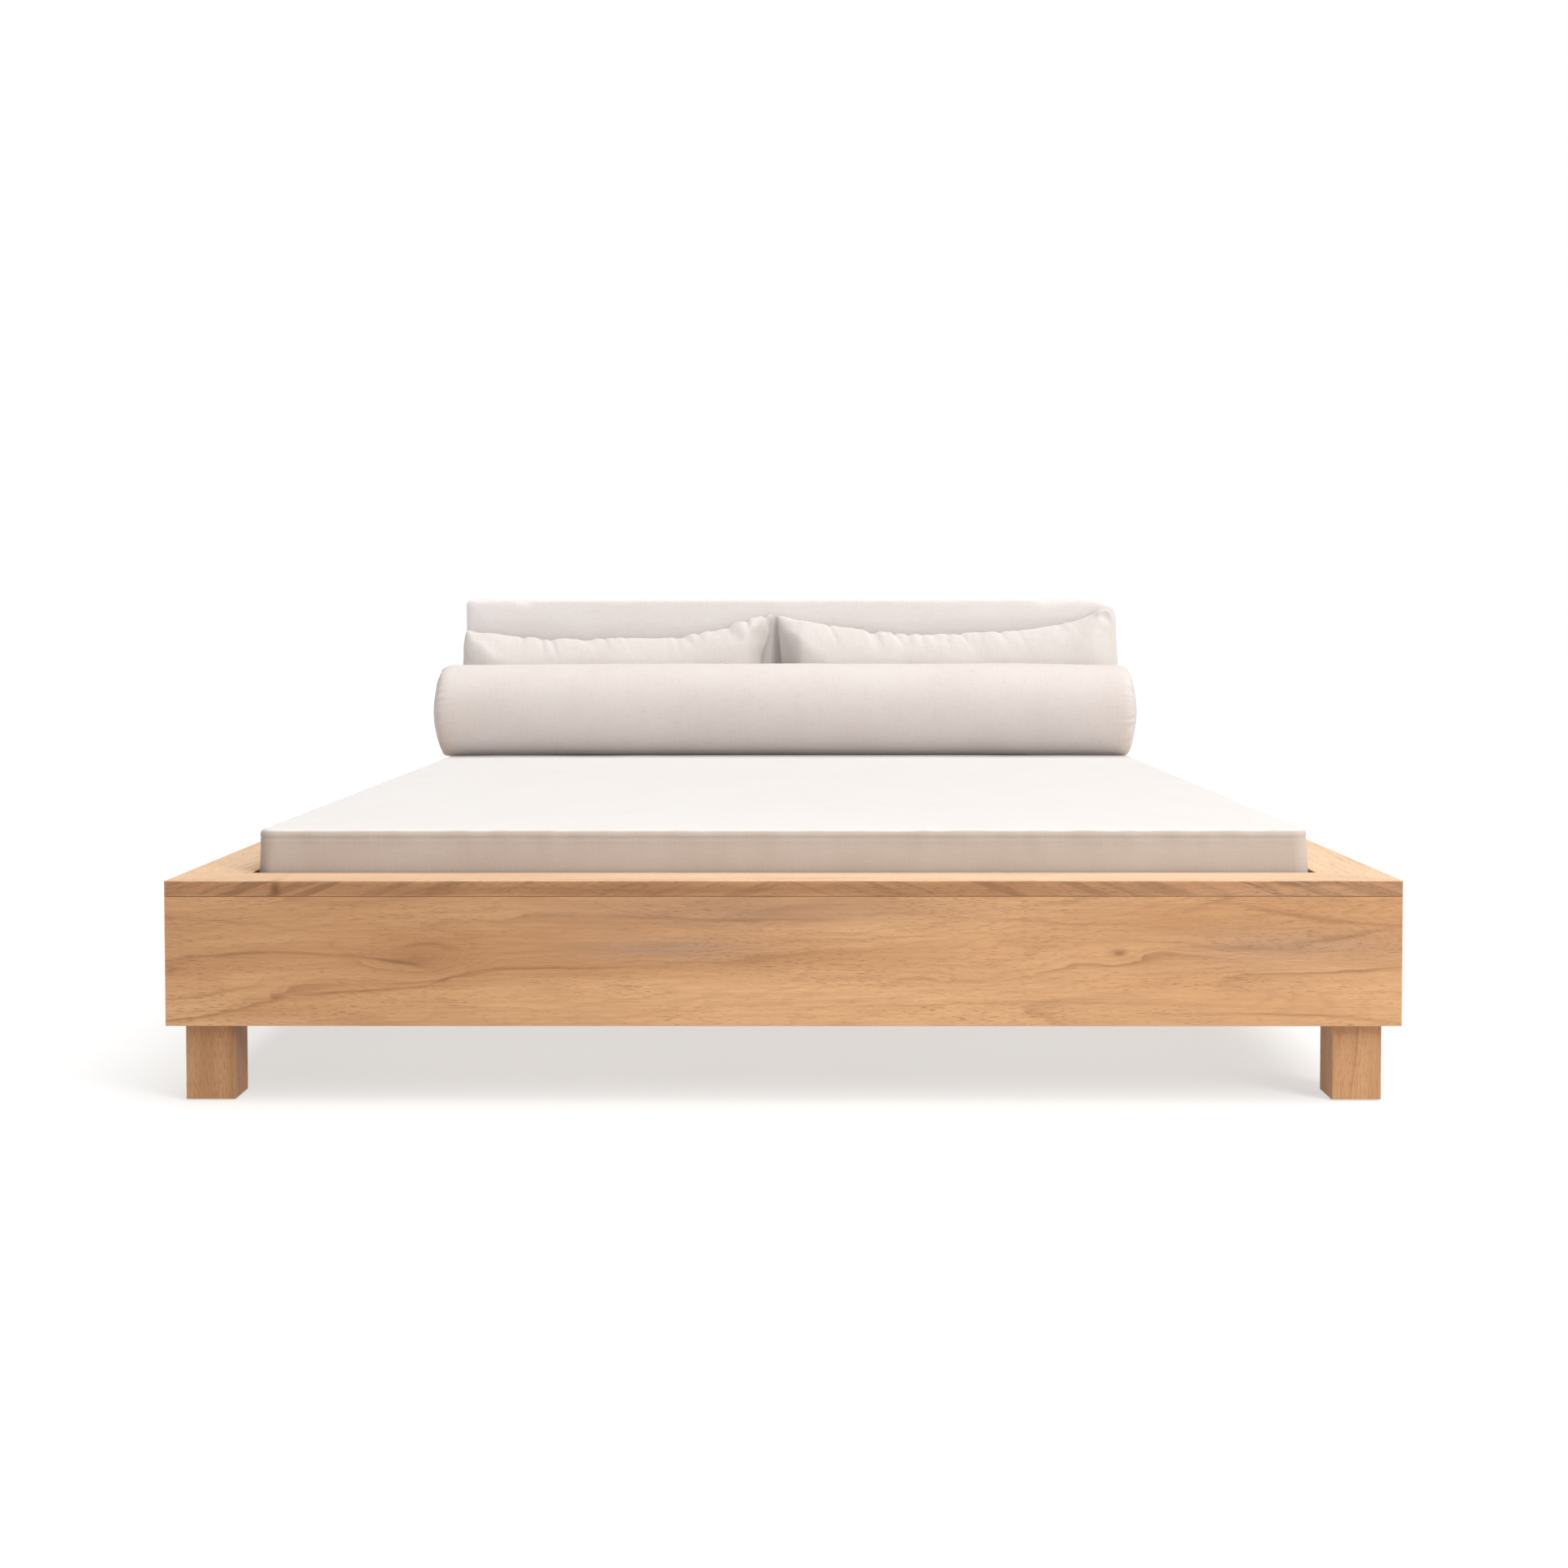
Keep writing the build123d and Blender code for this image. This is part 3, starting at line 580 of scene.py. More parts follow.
@dataclass(frozen=True)
class Woodwork:
    """Every wood piece and fitting of the frame, which stays as packed and gets its finish."""

    front_knots: tuple[Knot, ...] = (
        Knot(-0.515, 0.204, 0.075, 0.021, 0.026, 0.22),
        Knot(0.472, 0.213, 0.030, 0.010, 0.006, 0.70),
        Knot(-0.165, 0.222, 0.100, 0.012, 0.012, 0.10),
        Knot(0.760, 0.225, 0.130, 0.030, 0.030, 0.0),
    )
    front_clouds_and_shade: tuple[Cloud, ...] = (
        Cloud(-0.06, 0.274, 0.30, 0.024, 0.75, tone=Tone.GREY),
        Cloud(-0.16, 0.222, 0.13, 0.018, 0.70, tone=Tone.GREY),
        Cloud(0.71, 0.222, 0.13, 0.026, 0.62, tone=Tone.GREY),
        Cloud(-0.50, 0.206, 0.08, 0.024, 0.28, tone=Tone.DARK),
        # painted shade: the rail darker towards its left end
        Cloud(-0.80, 0.262, 0.50, 0.060, 0.45, tone=Tone.DARK),
        # painted shade: the rail darker along its top
        Cloud(-0.20, 0.288, 0.90, 0.026, 0.37, tone=Tone.DARK),
        Cloud(0.42, 0.125, 0.60, 0.045, 0.45, tone=Tone.PALE),
        Cloud(-0.82, 0.156, 0.060, 0.0022, 0.48, 0.12),
        Cloud(-0.60, 0.158, 0.130, 0.0020, 0.50, 0.06),
        Cloud(-0.45, 0.180, 0.055, 0.0022, 0.52, 0.22, -1.2),
        Cloud(-0.32, 0.191, 0.110, 0.0018, 0.45, 0.03),
        Cloud(-0.72, 0.214, 0.150, 0.0024, 0.40, 0.01, -0.5),
        Cloud(-0.545, 0.200, 0.045, 0.0022, 0.55, -0.16),
        Cloud(-0.76, 0.252, 0.100, 0.0022, 0.34, -0.10),
        Cloud(-0.50, 0.226, 0.035, 0.0030, 0.45, 0.0, -4.0),
        Cloud(-0.08, 0.262, 0.220, 0.0026, 0.34, -0.02),
        Cloud(0.10, 0.236, 0.180, 0.0020, 0.26, 0.03),
        Cloud(0.22, 0.140, 0.250, 0.0018, 0.26, 0.01),
        Cloud(0.33, 0.258, 0.150, 0.0022, 0.32, -0.05),
        Cloud(0.74, 0.263, 0.110, 0.0036, 0.42, -0.13, 0.3),
        Cloud(0.78, 0.232, 0.075, 0.0040, 0.42, 0.16, 0.8),
        Cloud(0.66, 0.220, 0.090, 0.0034, 0.30, -0.05),
        Cloud(0.80, 0.186, 0.090, 0.0020, 0.30, 0.08),
        Cloud(0.74, 0.126, 0.130, 0.0020, 0.38, -0.05, -0.3),
    )
    ledge_clouds: tuple[Cloud, ...] = (
        Cloud(-0.22, 0.302, 0.80, 0.009, 0.56, tone=Tone.DARK),
        Cloud(0.72, 0.302, 0.26, 0.010, 0.12, tone=Tone.PALE),
        Cloud(-0.712, 0.302, 0.007, 0.010, 0.95),
    )
    left_leg_painted_shade: tuple[Cloud, ...] = (
        # painted shade: the leg's inner side, under the bed
        Cloud(0.06, 0.772, 1.0, 0.012, 1.0, tone=Tone.DARK),
        # painted shade: the whole leg a little darker, as the left end is less lit
        Cloud(0.10, 0.810, 1.0, 0.200, 0.34, tone=Tone.DARK),
    )

    def paint(self, node: str, material: bpy.types.Material) -> None:
        """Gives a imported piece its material.

        Args:
            node: The piece's name.
            material: The material.
        """
        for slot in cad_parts[node].material_slots:
            slot.material = material
        LOG.info("finished %s", node)

    def dress_teak(self) -> None:
        """Finishes the rails, top boards and legs, each with its own figure, with painted sheen on the top
        boards' tops and painted shade on the legs, most on the front left one, and on the front rail.
        """
        sides = {"front": (Grain.ALONG_X, self.front_knots, self.front_clouds_and_shade),
                 "right": (Grain.ALONG_Y, (Knot(0.55, 0.18, 0.08, 0.018, 0.018, 0.35),),
                           (Cloud(-0.5, 0.2, 0.3, 0.03, 0.6, tone=Tone.GREY),)),
                 "head": (Grain.ALONG_X, (Knot(0.31, 0.19, 0.07, 0.016, 0.016, 0.3),),
                          (Cloud(-0.4, 0.2, 0.3, 0.03, 0.6, tone=Tone.GREY),)),
                 "left": (Grain.ALONG_Y, (Knot(-0.42, 0.215, 0.06, 0.014, 0.012, 0.4),),
                          (Cloud(0.5, 0.22, 0.3, 0.03, 0.6, tone=Tone.GREY),))}
        for seed, (side, (grain, knots, clouds)) in enumerate(sides.items(), start=2):
            self.paint(f"rail_{side}", TEAK.make(f"rail_{side}", grain, seed, knots, clouds))
            ledge = self.ledge_clouds if side == "front" else ()
            self.paint(f"top_board_{side}", TEAK_LEDGE_SHEEN.make(f"top_board_{side}", grain, seed + 7, (), ledge))
        for seed, corner in enumerate(("front_left", "front_right", "head_left", "head_right"), start=21):
            # Only the front left leg gets the painted shade.
            leg = self.left_leg_painted_shade if corner == "front_left" else ()
            self.paint(f"leg_{corner}", TEAK_LEG_SHADED.make(f"leg_{corner}", Grain.UPRIGHT, seed, (), leg))

    def dress_inside(self) -> None:
        """Finishes the slats, cleats, bearers, beam, centre legs and splines."""
        ways = {Grain.ALONG_X: [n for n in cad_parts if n.startswith("slat_") and n[-2:].isdigit()],
                Grain.ALONG_Y: ["slat_cleat_left", "slat_cleat_right", "bearer_left", "bearer_right",
                                "centre_beam"],
                Grain.UPRIGHT: ["centre_leg_front", "centre_leg_head"]}
        ways[Grain.ALONG_X] += ["bearer_front", "bearer_head", "board_splines", "rail_splines"]
        names = [(name, grain) for grain, some in ways.items() for name in sorted(some)]
        for seed, (name, grain) in enumerate(names, start=40):
            self.paint(name, PLAIN_WOOD.make(name, grain, seed))

    def dress_fittings(self) -> None:
        """Finishes the screws, bolts, inserts, steel plates and foot pads."""
        fittings = {ZINC: ("leg_bolts", "leg_washers", "centre_leg_studs", "cleat_screws", "slat_screws",
                           "bearer_screws", "board_screws", "steel_screws"),
                    BRASS: ("rail_inserts",), POWDER: ("beam_hangers", "centre_leg_plates"),
                    PLASTIC: ("foot_pads",)}
        for finish, names in fittings.items():
            material = finish.make()
            for name in names:
                self.paint(name, material)

    def dress(self) -> None:
        """Finishes all of it."""
        self.dress_teak()
        self.dress_inside()
        self.dress_fittings()


@dataclass(frozen=True)
class Stuffing:
    """One cloth simulation that swells a sewn cover, and how far its points may go."""

    pressure: float
    reach: tuple[float, float, float]
    stiffness: float
    bending: float = 0.5
    frames: int = 20
    gather: float = 0.0

    def swell(self, piece: bpy.types.Object) -> None:
        """Runs the simulation on a piece and keeps its result in the mesh.

        Args:
            piece: A closed mesh at the origin. Its group named seam gathers.
        """
        before = read_points(piece)
        only(piece)
        cloth = piece.modifiers.new("stuffing", "CLOTH")
        settings = cloth.settings
        settings.quality = 5
        settings.mass = 0.25
        settings.tension_stiffness = settings.compression_stiffness = self.stiffness
        settings.shear_stiffness = self.stiffness / 3
        settings.bending_stiffness = self.bending
        settings.use_pressure = True
        settings.uniform_pressure_force = self.pressure
        settings.effector_weights.gravity = 0.0
        if self.gather:
            settings.vertex_group_shrink = "seam"
            settings.shrink_min = 0.0
            settings.shrink_max = self.gather
        cloth.collision_settings.use_collision = False
        cloth.point_cache.frame_start = 1
        cloth.point_cache.frame_end = self.frames
        for number in range(1, self.frames + 1):
            bpy.context.scene.frame_set(number)
        bpy.ops.object.modifier_apply(modifier=cloth.name)
        bpy.context.scene.frame_set(1)
        reach = np.array(self.reach)
        move_points(piece, before + reach * np.tanh((read_points(piece) - before) / reach))


@dataclass
class SoftPiece:
    """What every soft piece has, and the steps that make it.

    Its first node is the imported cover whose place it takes.
    """

    name: str
    body: str
    nodes: tuple[str, ...]
    slot: str
    fill: float
    material: bpy.types.Material
    stuffing: Stuffing | None = None

    @cached_property
    def box(self) -> tuple[Vector, Vector]:
        """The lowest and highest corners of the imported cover."""
        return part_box(self.nodes[0])

    def cover(self) -> bpy.types.Object:
        """The sewn cover before it is stuffed."""
        raise NotImplementedError

    def settle(self, piece: bpy.types.Object) -> None:
        """Gives the stuffed piece its seams, folds and rest."""
        raise NotImplementedError

    def start(self, points: list, faces: list, layout: list) -> bpy.types.Object:
        """Makes a mesh object from points and faces.

        Args:
            points: The points in metres.
            faces: The faces, each a tuple of point numbers.
            layout: Where each corner of each face lies on the flat cloth, in metres.

        Returns:
            The object.
        """
        mesh = bpy.data.meshes.new(self.name)
        mesh.from_pydata(points, [], faces)
        layer = mesh.uv_layers.new(name="cloth")
        layer.data.foreach_set("uv", np.array(layout, np.float32).ravel())
        piece = bpy.data.objects.new(self.name, mesh)
        bpy.context.scene.collection.objects.link(piece)
        only(piece)
        bpy.ops.object.mode_set(mode="EDIT")
        bpy.ops.mesh.select_all(action="SELECT")
        bpy.ops.mesh.remove_doubles(threshold=0.02 * MM)
        bpy.ops.mesh.normals_make_consistent(inside=False)
        bpy.ops.object.mode_set(mode="OBJECT")
        return piece

    def build(self) -> None:
        """Makes the piece, gives it its material and tells the frame what it is."""
        piece = self.cover()
        if self.stuffing:
            self.stuffing.swell(piece)
            finer = piece.modifiers.new("finer", "SUBSURF")
            finer.levels = finer.render_levels = 1
            bpy.ops.object.modifier_apply(modifier=finer.name)
        self.settle(piece)
        bpy.ops.object.shade_smooth()
        piece.data.materials.append(self.material)
        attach(piece, self.body)
        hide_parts(*self.nodes)
        LOG.info("made %s with %d faces", piece.name, len(piece.data.polygons))


def rounded_ring(half: tuple[float, float], corner: float, counts: tuple[int, int, int]) -> list[tuple]:
    """Points round a rectangle with rounded corners, anticlockwise from its lower right corner.

    Args:
        half: Half its width and half its height.
        corner: The corners' radius.
        counts: How many points on an upright side, on a level side and on a corner.

    Returns:
        The points as pairs.
    """
    wide, tall = max(half[0], 0.0), max(half[1], 0.0)
    radius = max(min(corner, wide, tall), 0.0)
    arcs = []
    for index, (sx, sy) in enumerate(((1, -1), (1, 1), (-1, 1), (-1, -1))):
        angles = [(index - 1) * QUARTER + QUARTER * step / counts[2] for step in range(counts[2] + 1)]
        arcs.append([(sx * (wide - radius) + radius * math.cos(angle),
                      sy * (tall - radius) + radius * math.sin(angle)) for angle in angles])
    points = []
    for index, arc in enumerate(arcs):
        (x, y), (next_x, next_y) = arc[-1], arcs[(index + 1) % 4][0]
        count = counts[index % 2]
        points += arc + [(x + (next_x - x) * step / count, y + (next_y - y) * step / count)
                         for step in range(1, count)]
    return points


def path_lengths(line: list[tuple]) -> list[float]:
    """How far along a line each of its points lies."""
    return list(np.cumsum([0.0] + [math.dist(a, b) for a, b in zip(line, line[1:])]))


def lofted(rings: list[list[tuple]], lengths: list[float]) -> tuple[list, list, list]:
    """Joins rings of points into a closed skin.

    Args:
        rings: The rings, all with the same number of points, the first and last closed to nothing.
        lengths: How far along the cloth each ring lies.

    Returns:
        The points, the faces, and the corners' places on the flat cloth.
    """
    count = len(rings[0])
    points = [p for ring in rings for p in ring]
    faces, layout = [], []
    widest = max(rings, key=lambda ring: path_lengths(ring)[-1])
    steps = path_lengths(widest + widest[:1])
    for row in range(len(rings) - 1):
        low, high = lengths[row], lengths[row + 1]
        for column in range(count):
            here, after = row * count + column, row * count + (column + 1) % count
            faces.append((here, after, after + count, here + count))
            layout += [(steps[column], low), (steps[column + 1], low), (steps[column + 1], high),
                       (steps[column], high)]
    return points, faces, layout


@dataclass
class Mattress(SoftPiece):
    """The mattress: a firm slab in a sewn cover, its top panel turned over the edge and seamed there."""

    corner: float = 0.012
    top_corner: float = 0.024
    edge: float = 0.0085
    band: float = 0.0125
    crown: float = 0.0012
    crown_reach: float = 0.25
    seam: float = 0.0013
    seam_half: float = 2.6 * MM
    step: float = 0.010
    bulge: float = 0.003
    pucker_reach: float = 0.022
    still_foot: float = 0.02

    def profile(self, half: float, low: float, high: float) -> list[tuple]:
        """The line from the middle of the underside, up the side and in to the middle of the top.

        Args:
            half: Half the mattress's width.
            low: Its underside.
            high: Its top.

        Returns:
            Pairs of the inset from the side and the height.
        """
        top = high - self.crown
        seam_at = top - self.band
        foot = low + self.edge
        line = [(half - half * i / 14, low) for i in range(14)]
        line += [(self.edge * (1 - math.sin(a)), low + self.edge * (1 - math.cos(a)))
                 for a in np.linspace(0.15, QUARTER, 4)]
        line += [(-self.bulge * math.sin(math.pi * i / 10), foot + (seam_at - foot) * i / 10)
                 for i in range(1, 10)]
        line += [(0.3 * MM, seam_at - 5 * MM), (0.0, seam_at - self.seam_half), (self.seam, seam_at),
                 (0.0, seam_at + self.seam_half)]
        line += [(self.edge * (1 - math.cos(a)), top - self.edge + self.edge * math.sin(a))
                 for a in np.linspace(0.0, QUARTER * 0.94, 6)]
        inner = self.edge * 1.2 + (half - self.edge * 1.2) * np.linspace(0.0, 1.0, 38) ** 1.6
        line += [(i, top + self.crown * math.sin(QUARTER * min(i / self.crown_reach, 1.0))) for i in inner]
        return line

    def cover(self) -> bpy.types.Object:
        """Sews the cover, round the profile.

        Returns:
            The cover.
        """
        low, high = self.box
        middle, half = (low + high) / 2, (high - low) / 2
        profile = self.profile(half.x, low.z, high.z)
        counts = (int(2 * half.y / self.step), int(2 * half.x / self.step), 8)
        rings = []
        for inset, height in profile:
            corner = self.corner + (self.top_corner - self.corner) * (height - low.z) / (high.z - low.z)
            ring = rounded_ring((half.x - inset, half.y - inset), max(corner - inset, 0.0), counts)
            rings.append([(middle.x + x, middle.y + y, height) for x, y in ring])
        return self.start(*lofted(rings, path_lengths(profile)))

    def settle(self, piece: bpy.types.Object) -> None:
        """Puckers the cloth along the seam and lets the top rise and fall a little.

        Args:
            piece: The mattress.
        """
        low, high = self.box
        half = (high - low) / 2
        points, normals = read_points(piece), read_points(piece, normals=True)
        side = np.minimum(half.x - np.abs(points[:, 0]), half.y - np.abs(points[:, 1]))
        height = points[:, 2] - (high.z - self.crown - self.band)
        over = np.where(height > 0, height + np.maximum(side, 0.0), -height)
        pucker = (0.5 - 1.6 * np.abs(ripple(points, (17.0, 17.0, 6.0), 3.7))) * 2.0 * MM
        pucker += ripple(points, (38.0, 38.0, 20.0), 9.1) * 2.2 * MM
        slow = ripple(points, (4.0, 4.0, 4.0), 21.3) * 1.2 * MM
        slow += ripple(points, (13.0, 13.0, 9.0), 5.9) * 0.5 * MM
        shift = hill(over, self.pucker_reach) * (pucker - 0.4 * MM) + slow * swell(side, -0.001, 0.15)
        shift = np.where(points[:, 2] < low.z + self.still_foot, 0.0, shift)
        moved = points + normals * shift[:, None]
        moved[:, 2] = np.minimum(moved[:, 2], high.z)
        for axis in (0, 1):
            moved[:, axis] = np.clip(moved[:, axis], low[axis] - self.bulge, high[axis] + self.bulge)
        move_points(piece, moved)


@dataclass
class Bolster(SoftPiece):
    """The bolster: a long round roll with a round panel sewn into each end."""

    stuffing: Stuffing | None = Stuffing(3.0, (0.008, 0.006, 0.006), 20.0)
    around: int = 84
    step: float = 0.0095
    slack: float = 3 * MM
    dome: float = 0.034
    shoulder: float = 0.030
    seam_share: float = 0.55
    sag: float = 0.0035
    sag_ends: tuple[float, float] = (0.45, 0.80)

    def profile(self, radius: float, length: float) -> list[tuple]:
        """The line from the middle of one end, round its shoulder, along the roll and back.

        Args:
            radius: The roll's radius.
            length: Its whole length.

        Returns:
            Pairs of the place along the roll, from its middle, and the distance from its axis.
        """
        end = length / 2
        panel = radius - self.shoulder * self.seam_share
        dome = self.dome * self.seam_share
        half = [(end - dome * (r / panel) ** 2, r) for r in np.linspace(0.0, panel, 10)]
        half += [(end - dome - self.shoulder * (1 - math.cos(a)) * 0.9,
                  panel + (radius - panel) * math.sin(a)) for a in np.linspace(0.35, QUARTER, 5)]
        body = half[-1][0]
        count = int(2 * body / self.step)
        line = [(-x, r) for x, r in half]
        line += [(-body + 2 * body * i / count, radius) for i in range(1, count)]
        return line + [(x, r) for x, r in reversed(half)]

    def cover(self) -> bpy.types.Object:
        """Sews the roll, a little slack all round.

        Returns:
            The cover.
        """
        low, high = self.box
        full = (high.y - low.y) / 2
        middle, axis = (low + high) / 2, high.z - full
        profile = self.profile(full - self.slack, high.x - low.x - 2 * self.slack)
        turns = [2 * math.pi * i / self.around for i in range(self.around)]
        rings = [[(middle.x + x, middle.y + r * math.cos(a), axis + r * math.sin(a)) for a in turns]
                 for x, r in profile]
        return self.start(*lofted(rings, path_lengths(profile)))

    def settle(self, piece: bpy.types.Object) -> None:
        """Sews in the ends with small gathers, and flattens the roll where it rests.

        Args:
            piece: The bolster.
        """
        low, high = self.box
        full = (high.y - low.y) / 2
        middle, axis = (low + high) / 2, high.z - full
        points, normals = read_points(piece), read_points(piece, normals=True)
        along = points[:, 0] - middle.x
        radius = np.hypot(points[:, 1] - middle.y, points[:, 2] - axis)
        end = (high.x - low.x) / 2 - np.abs(along)
        from_seam = np.hypot(radius - (full - self.shoulder * self.seam_share),
                             (end - self.dome * self.seam_share) * 0.8)
        turned = np.arctan2(points[:, 2] - axis, points[:, 1] - middle.y)
        ring = np.stack([np.cos(turned), np.sin(turned), np.sign(along)], axis=1)
        fold = (0.5 - 1.7 * np.abs(ripple(ring, (6.0, 6.0, 2.0), 4.4))) * 4.2 * MM
        fold += ripple(ring, (15.0, 15.0, 2.0), 8.2) * 2.4 * MM
        slow = ripple(points, (3.0, 6.0, 6.0), 2.2) * 1.4 * MM
        slow += ripple(points, (9.0, 14.0, 14.0), 6.1) * 0.7 * MM
        shift = hill(from_seam, 0.019) * fold - hill(from_seam, 0.0042) * 2.0 * MM
        moved = points + normals * (shift + slow)[:, None]
        drop = self.sag * swell(np.abs(along), *self.sag_ends)
        moved[:, 2] = np.maximum(moved[:, 2] - drop, low.z - drop)
        move_points(piece, moved)


@dataclass
class Pillow(SoftPiece):
    """A pillow standing on edge behind the bolster: a flat sewn envelope, swollen, with its ears up."""

    stuffing: Stuffing | None = Stuffing(5.0, (0.012, 0.06, 0.012), 12.0, 0.3, frames=24, gather=0.05)
    ears: tuple[tuple[float, float], ...] = ()
    inner: tuple[float, float] = (0.0, 0.0)
    outer: tuple[float, float] = (0.0, 0.0)
    tips: tuple[float, float] = (0.0, 0.0)
    thin: tuple[float, float] = (0.0, 0.0)
    seed: float = 1.0
    step: float = 0.0078
    seam_back: float = 0.045
    gap: float = 2.5 * MM
    rounding: float = 0.018
    plump: float = 0.66
    depth: float = 0.098
    lean: float = 0.030
    ease: float = 0.010
    clear: float = 0.6 * MM

    def crest(self, share: float) -> float:
        """The height of the top seam, on a smooth line through the ears' points.

        Args:
            share: From 0 at the left seam to 1 at the right.

        Returns:
            The height as a share of the pillow's.
        """
        places, heights = np.array(self.ears).T
        slopes = np.gradient(heights, places)
        i = int(np.clip(np.searchsorted(places, share) - 1, 0, len(places) - 2))
        span = places[i + 1] - places[i]
        t = (share - places[i]) / span
        first = (2 * t ** 3 - 3 * t ** 2 + 1) * heights[i] + (t ** 3 - 2 * t ** 2 + t) * span * slopes[i]
        second = (3 * t ** 2 - 2 * t ** 3) * heights[i + 1] + (t ** 3 - t ** 2) * span * slopes[i + 1]
        return float(first + second)

    def outline(self, share: float, rise: float) -> tuple[float, float]:
        """Where a point of the flat envelope lies, its corners rounded.

        Args:
            share: From 0 at the left seam to 1 at the right.
            rise: From 0 at the bottom seam to 1 at the top.

        Returns:
            Its x and z.
        """
        low, high = self.box
        a, b = 2 * share - 1, 2 * rise - 1
        eased = 1 - self.rounding * (abs(a) ** 9) * (abs(b) ** 9)
        share, rise = 0.5 + a * eased / 2, 0.5 + b * eased / 2
        bulge = 4 * rise * (1 - rise)
        left = low.x + self.outer[0] * rise + self.inner[0] * bulge
        right = high.x - self.outer[1] * (1 - rise) - self.inner[1] * bulge
        top = low.z + self.crest(share) * (high.z - low.z)
        bottom = low.z + 1 * MM + 3 * MM * math.sin(math.pi * share)
        return left + (right - left) * share, bottom + (top - bottom) * rise

    def cover(self) -> bpy.types.Object:
        """Sews the flat envelope: a back and a front sheet, and a narrow strip between them all round.

        Returns:
            The envelope, with a group for the seam, where the cloth gathers.
        """
        low, high = self.box
        across, up = int((high.x - low.x) / self.step), int((high.z - low.z) / self.step)
        middle = high.y - self.seam_back
        points, faces, layout = [], [], []
        for gap in (self.gap, -self.gap):
            for j in range(up + 1):
                for i in range(across + 1):
                    x, z = self.outline(i / across, j / up)
                    rim = i in (0, across) or j in (0, up)
                    points.append((x, middle + gap * (0.4 if rim else 1.0), z))
        wide, total = across + 1, (across + 1) * (up + 1)
        for j in range(up):
            for i in range(across):
                a = j * wide + i
                b, c, d = a + 1, a + wide + 1, a + wide
                x0, x1, z0, z1 = i * self.step, (i + 1) * self.step, j * self.step, (j + 1) * self.step
                faces += [(a, b, c, d), (total + a, total + d, total + c, total + b)]
                layout += [(x0, z0), (x1, z0), (x1, z1), (x0, z1), (x0, z0), (x0, z1), (x1, z1), (x1, z0)]
        rim = [j * wide for j in range(up, 0, -1)] + list(range(across))
        rim += [across + j * wide for j in range(up)] + [up * wide + i for i in range(across, 0, -1)]
        for index, (a, b) in enumerate(zip(rim, rim[1:] + rim[:1])):
            s0, s1 = index * self.step, (index + 1) * self.step
            faces.append((a, b, total + b, total + a))
            layout += [(s0, 0.0), (s1, 0.0), (s1, 2 * MM), (s0, 2 * MM)]
        piece = self.start(points, faces, layout)
        away = np.abs(read_points(piece)[:, 1] - middle)
        seam = np.nonzero(away < 1.6 * MM)[0]
        piece.vertex_groups.new(name="seam").add([int(i) for i in seam], 1.0, "ADD")
        return piece

    def settle(self, piece: bpy.types.Object) -> None:
        """Sets the pillow's thickness, creases it and rests it against its neighbours.

        Args:
            piece: The swollen pillow.
        """
        low, high = self.box
        wide, tall = high.x - low.x, high.z - low.z
        points = read_points(piece)
        least, most = points.min(axis=0), points.max(axis=0)
        for axis, size in ((0, wide), (2, tall)):
            points[:, axis] = low[axis] + (points[:, axis] - least[axis]) * size / (most[axis] - least[axis])
        share, rise = (points[:, 0] - low.x) / wide, (points[:, 2] - low.z) / tall
        full = 2.0 * (points[:, 1] - (least[1] + most[1]) / 2) / (most[1] - least[1])
        points[:, 1] = high.y - self.depth / 2 + np.sign(full) * np.abs(full) ** self.plump * self.depth / 2
        points[:, 1] += self.lean * swell(rise, 0.55, 1.0)
        for away, thin in zip((share, 1.0 - share), self.thin):
            flat = thin * (1.0 - swell(away * wide, 0.0, 0.06))
            points[:, 1] = high.y - (high.y - points[:, 1]) * (1.0 - flat)
        self.crease(piece, points, share, rise)
        self.press(points)
        move_points(piece, points)

    def crease(self, piece: bpy.types.Object, points: np.ndarray, share: np.ndarray,
               rise: np.ndarray) -> None:
        """Bunches the cloth along the seam, and draws out the tips of the ears.

        Args:
            piece: The swollen pillow, for its outward directions.
            points: Its points, which move.
            share: How far across the pillow each point lies.
            rise: How far up it each point lies.
        """
        low, high = self.box
        wide, tall = high.x - low.x, high.z - low.z
        crest = np.array([self.crest(s) for s in np.clip(share, 0.0, 1.0)])
        below = np.maximum((crest - rise) * tall, 0.0)
        ends = np.minimum(share, 1.0 - share) * wide
        seam = hill(np.minimum(below, ends * 1.4), 0.036)
        lean = points + np.outer(points[:, 2], (0.45, 0.0, 0.0))
        groove = hill(ripple(lean, (21.0, 4.0, 6.0), self.seed), 0.15)
        bunch = 0.30 + 0.70 * swell(ripple(points, (5.0, 2.0, 2.0), self.seed + 7), -0.12, 0.30)
        fold = (0.30 - groove) * 5.6 * MM * seam * bunch
        fold += ripple(lean, (50.0, 8.0, 12.0), self.seed + 2) * 1.9 * MM * seam
        fold += ripple(points, (8.0, 6.0, 7.0), self.seed + 5) * 2.4 * MM
        points += read_points(piece, normals=True) * fold[:, None]
        dip = groove * bunch * 2.4 * MM + ripple(points, (34.0, 2.0, 2.0), self.seed + 9) * 1.4 * MM
        points[:, 2] -= dip * hill(below, 0.014)
        top = swell(rise, 0.70, 0.98)
        points[:, 0] -= self.tips[0] * top * hill(share * wide, 0.05)
        points[:, 0] += self.tips[1] * top * hill((1 - share) * wide, 0.05)

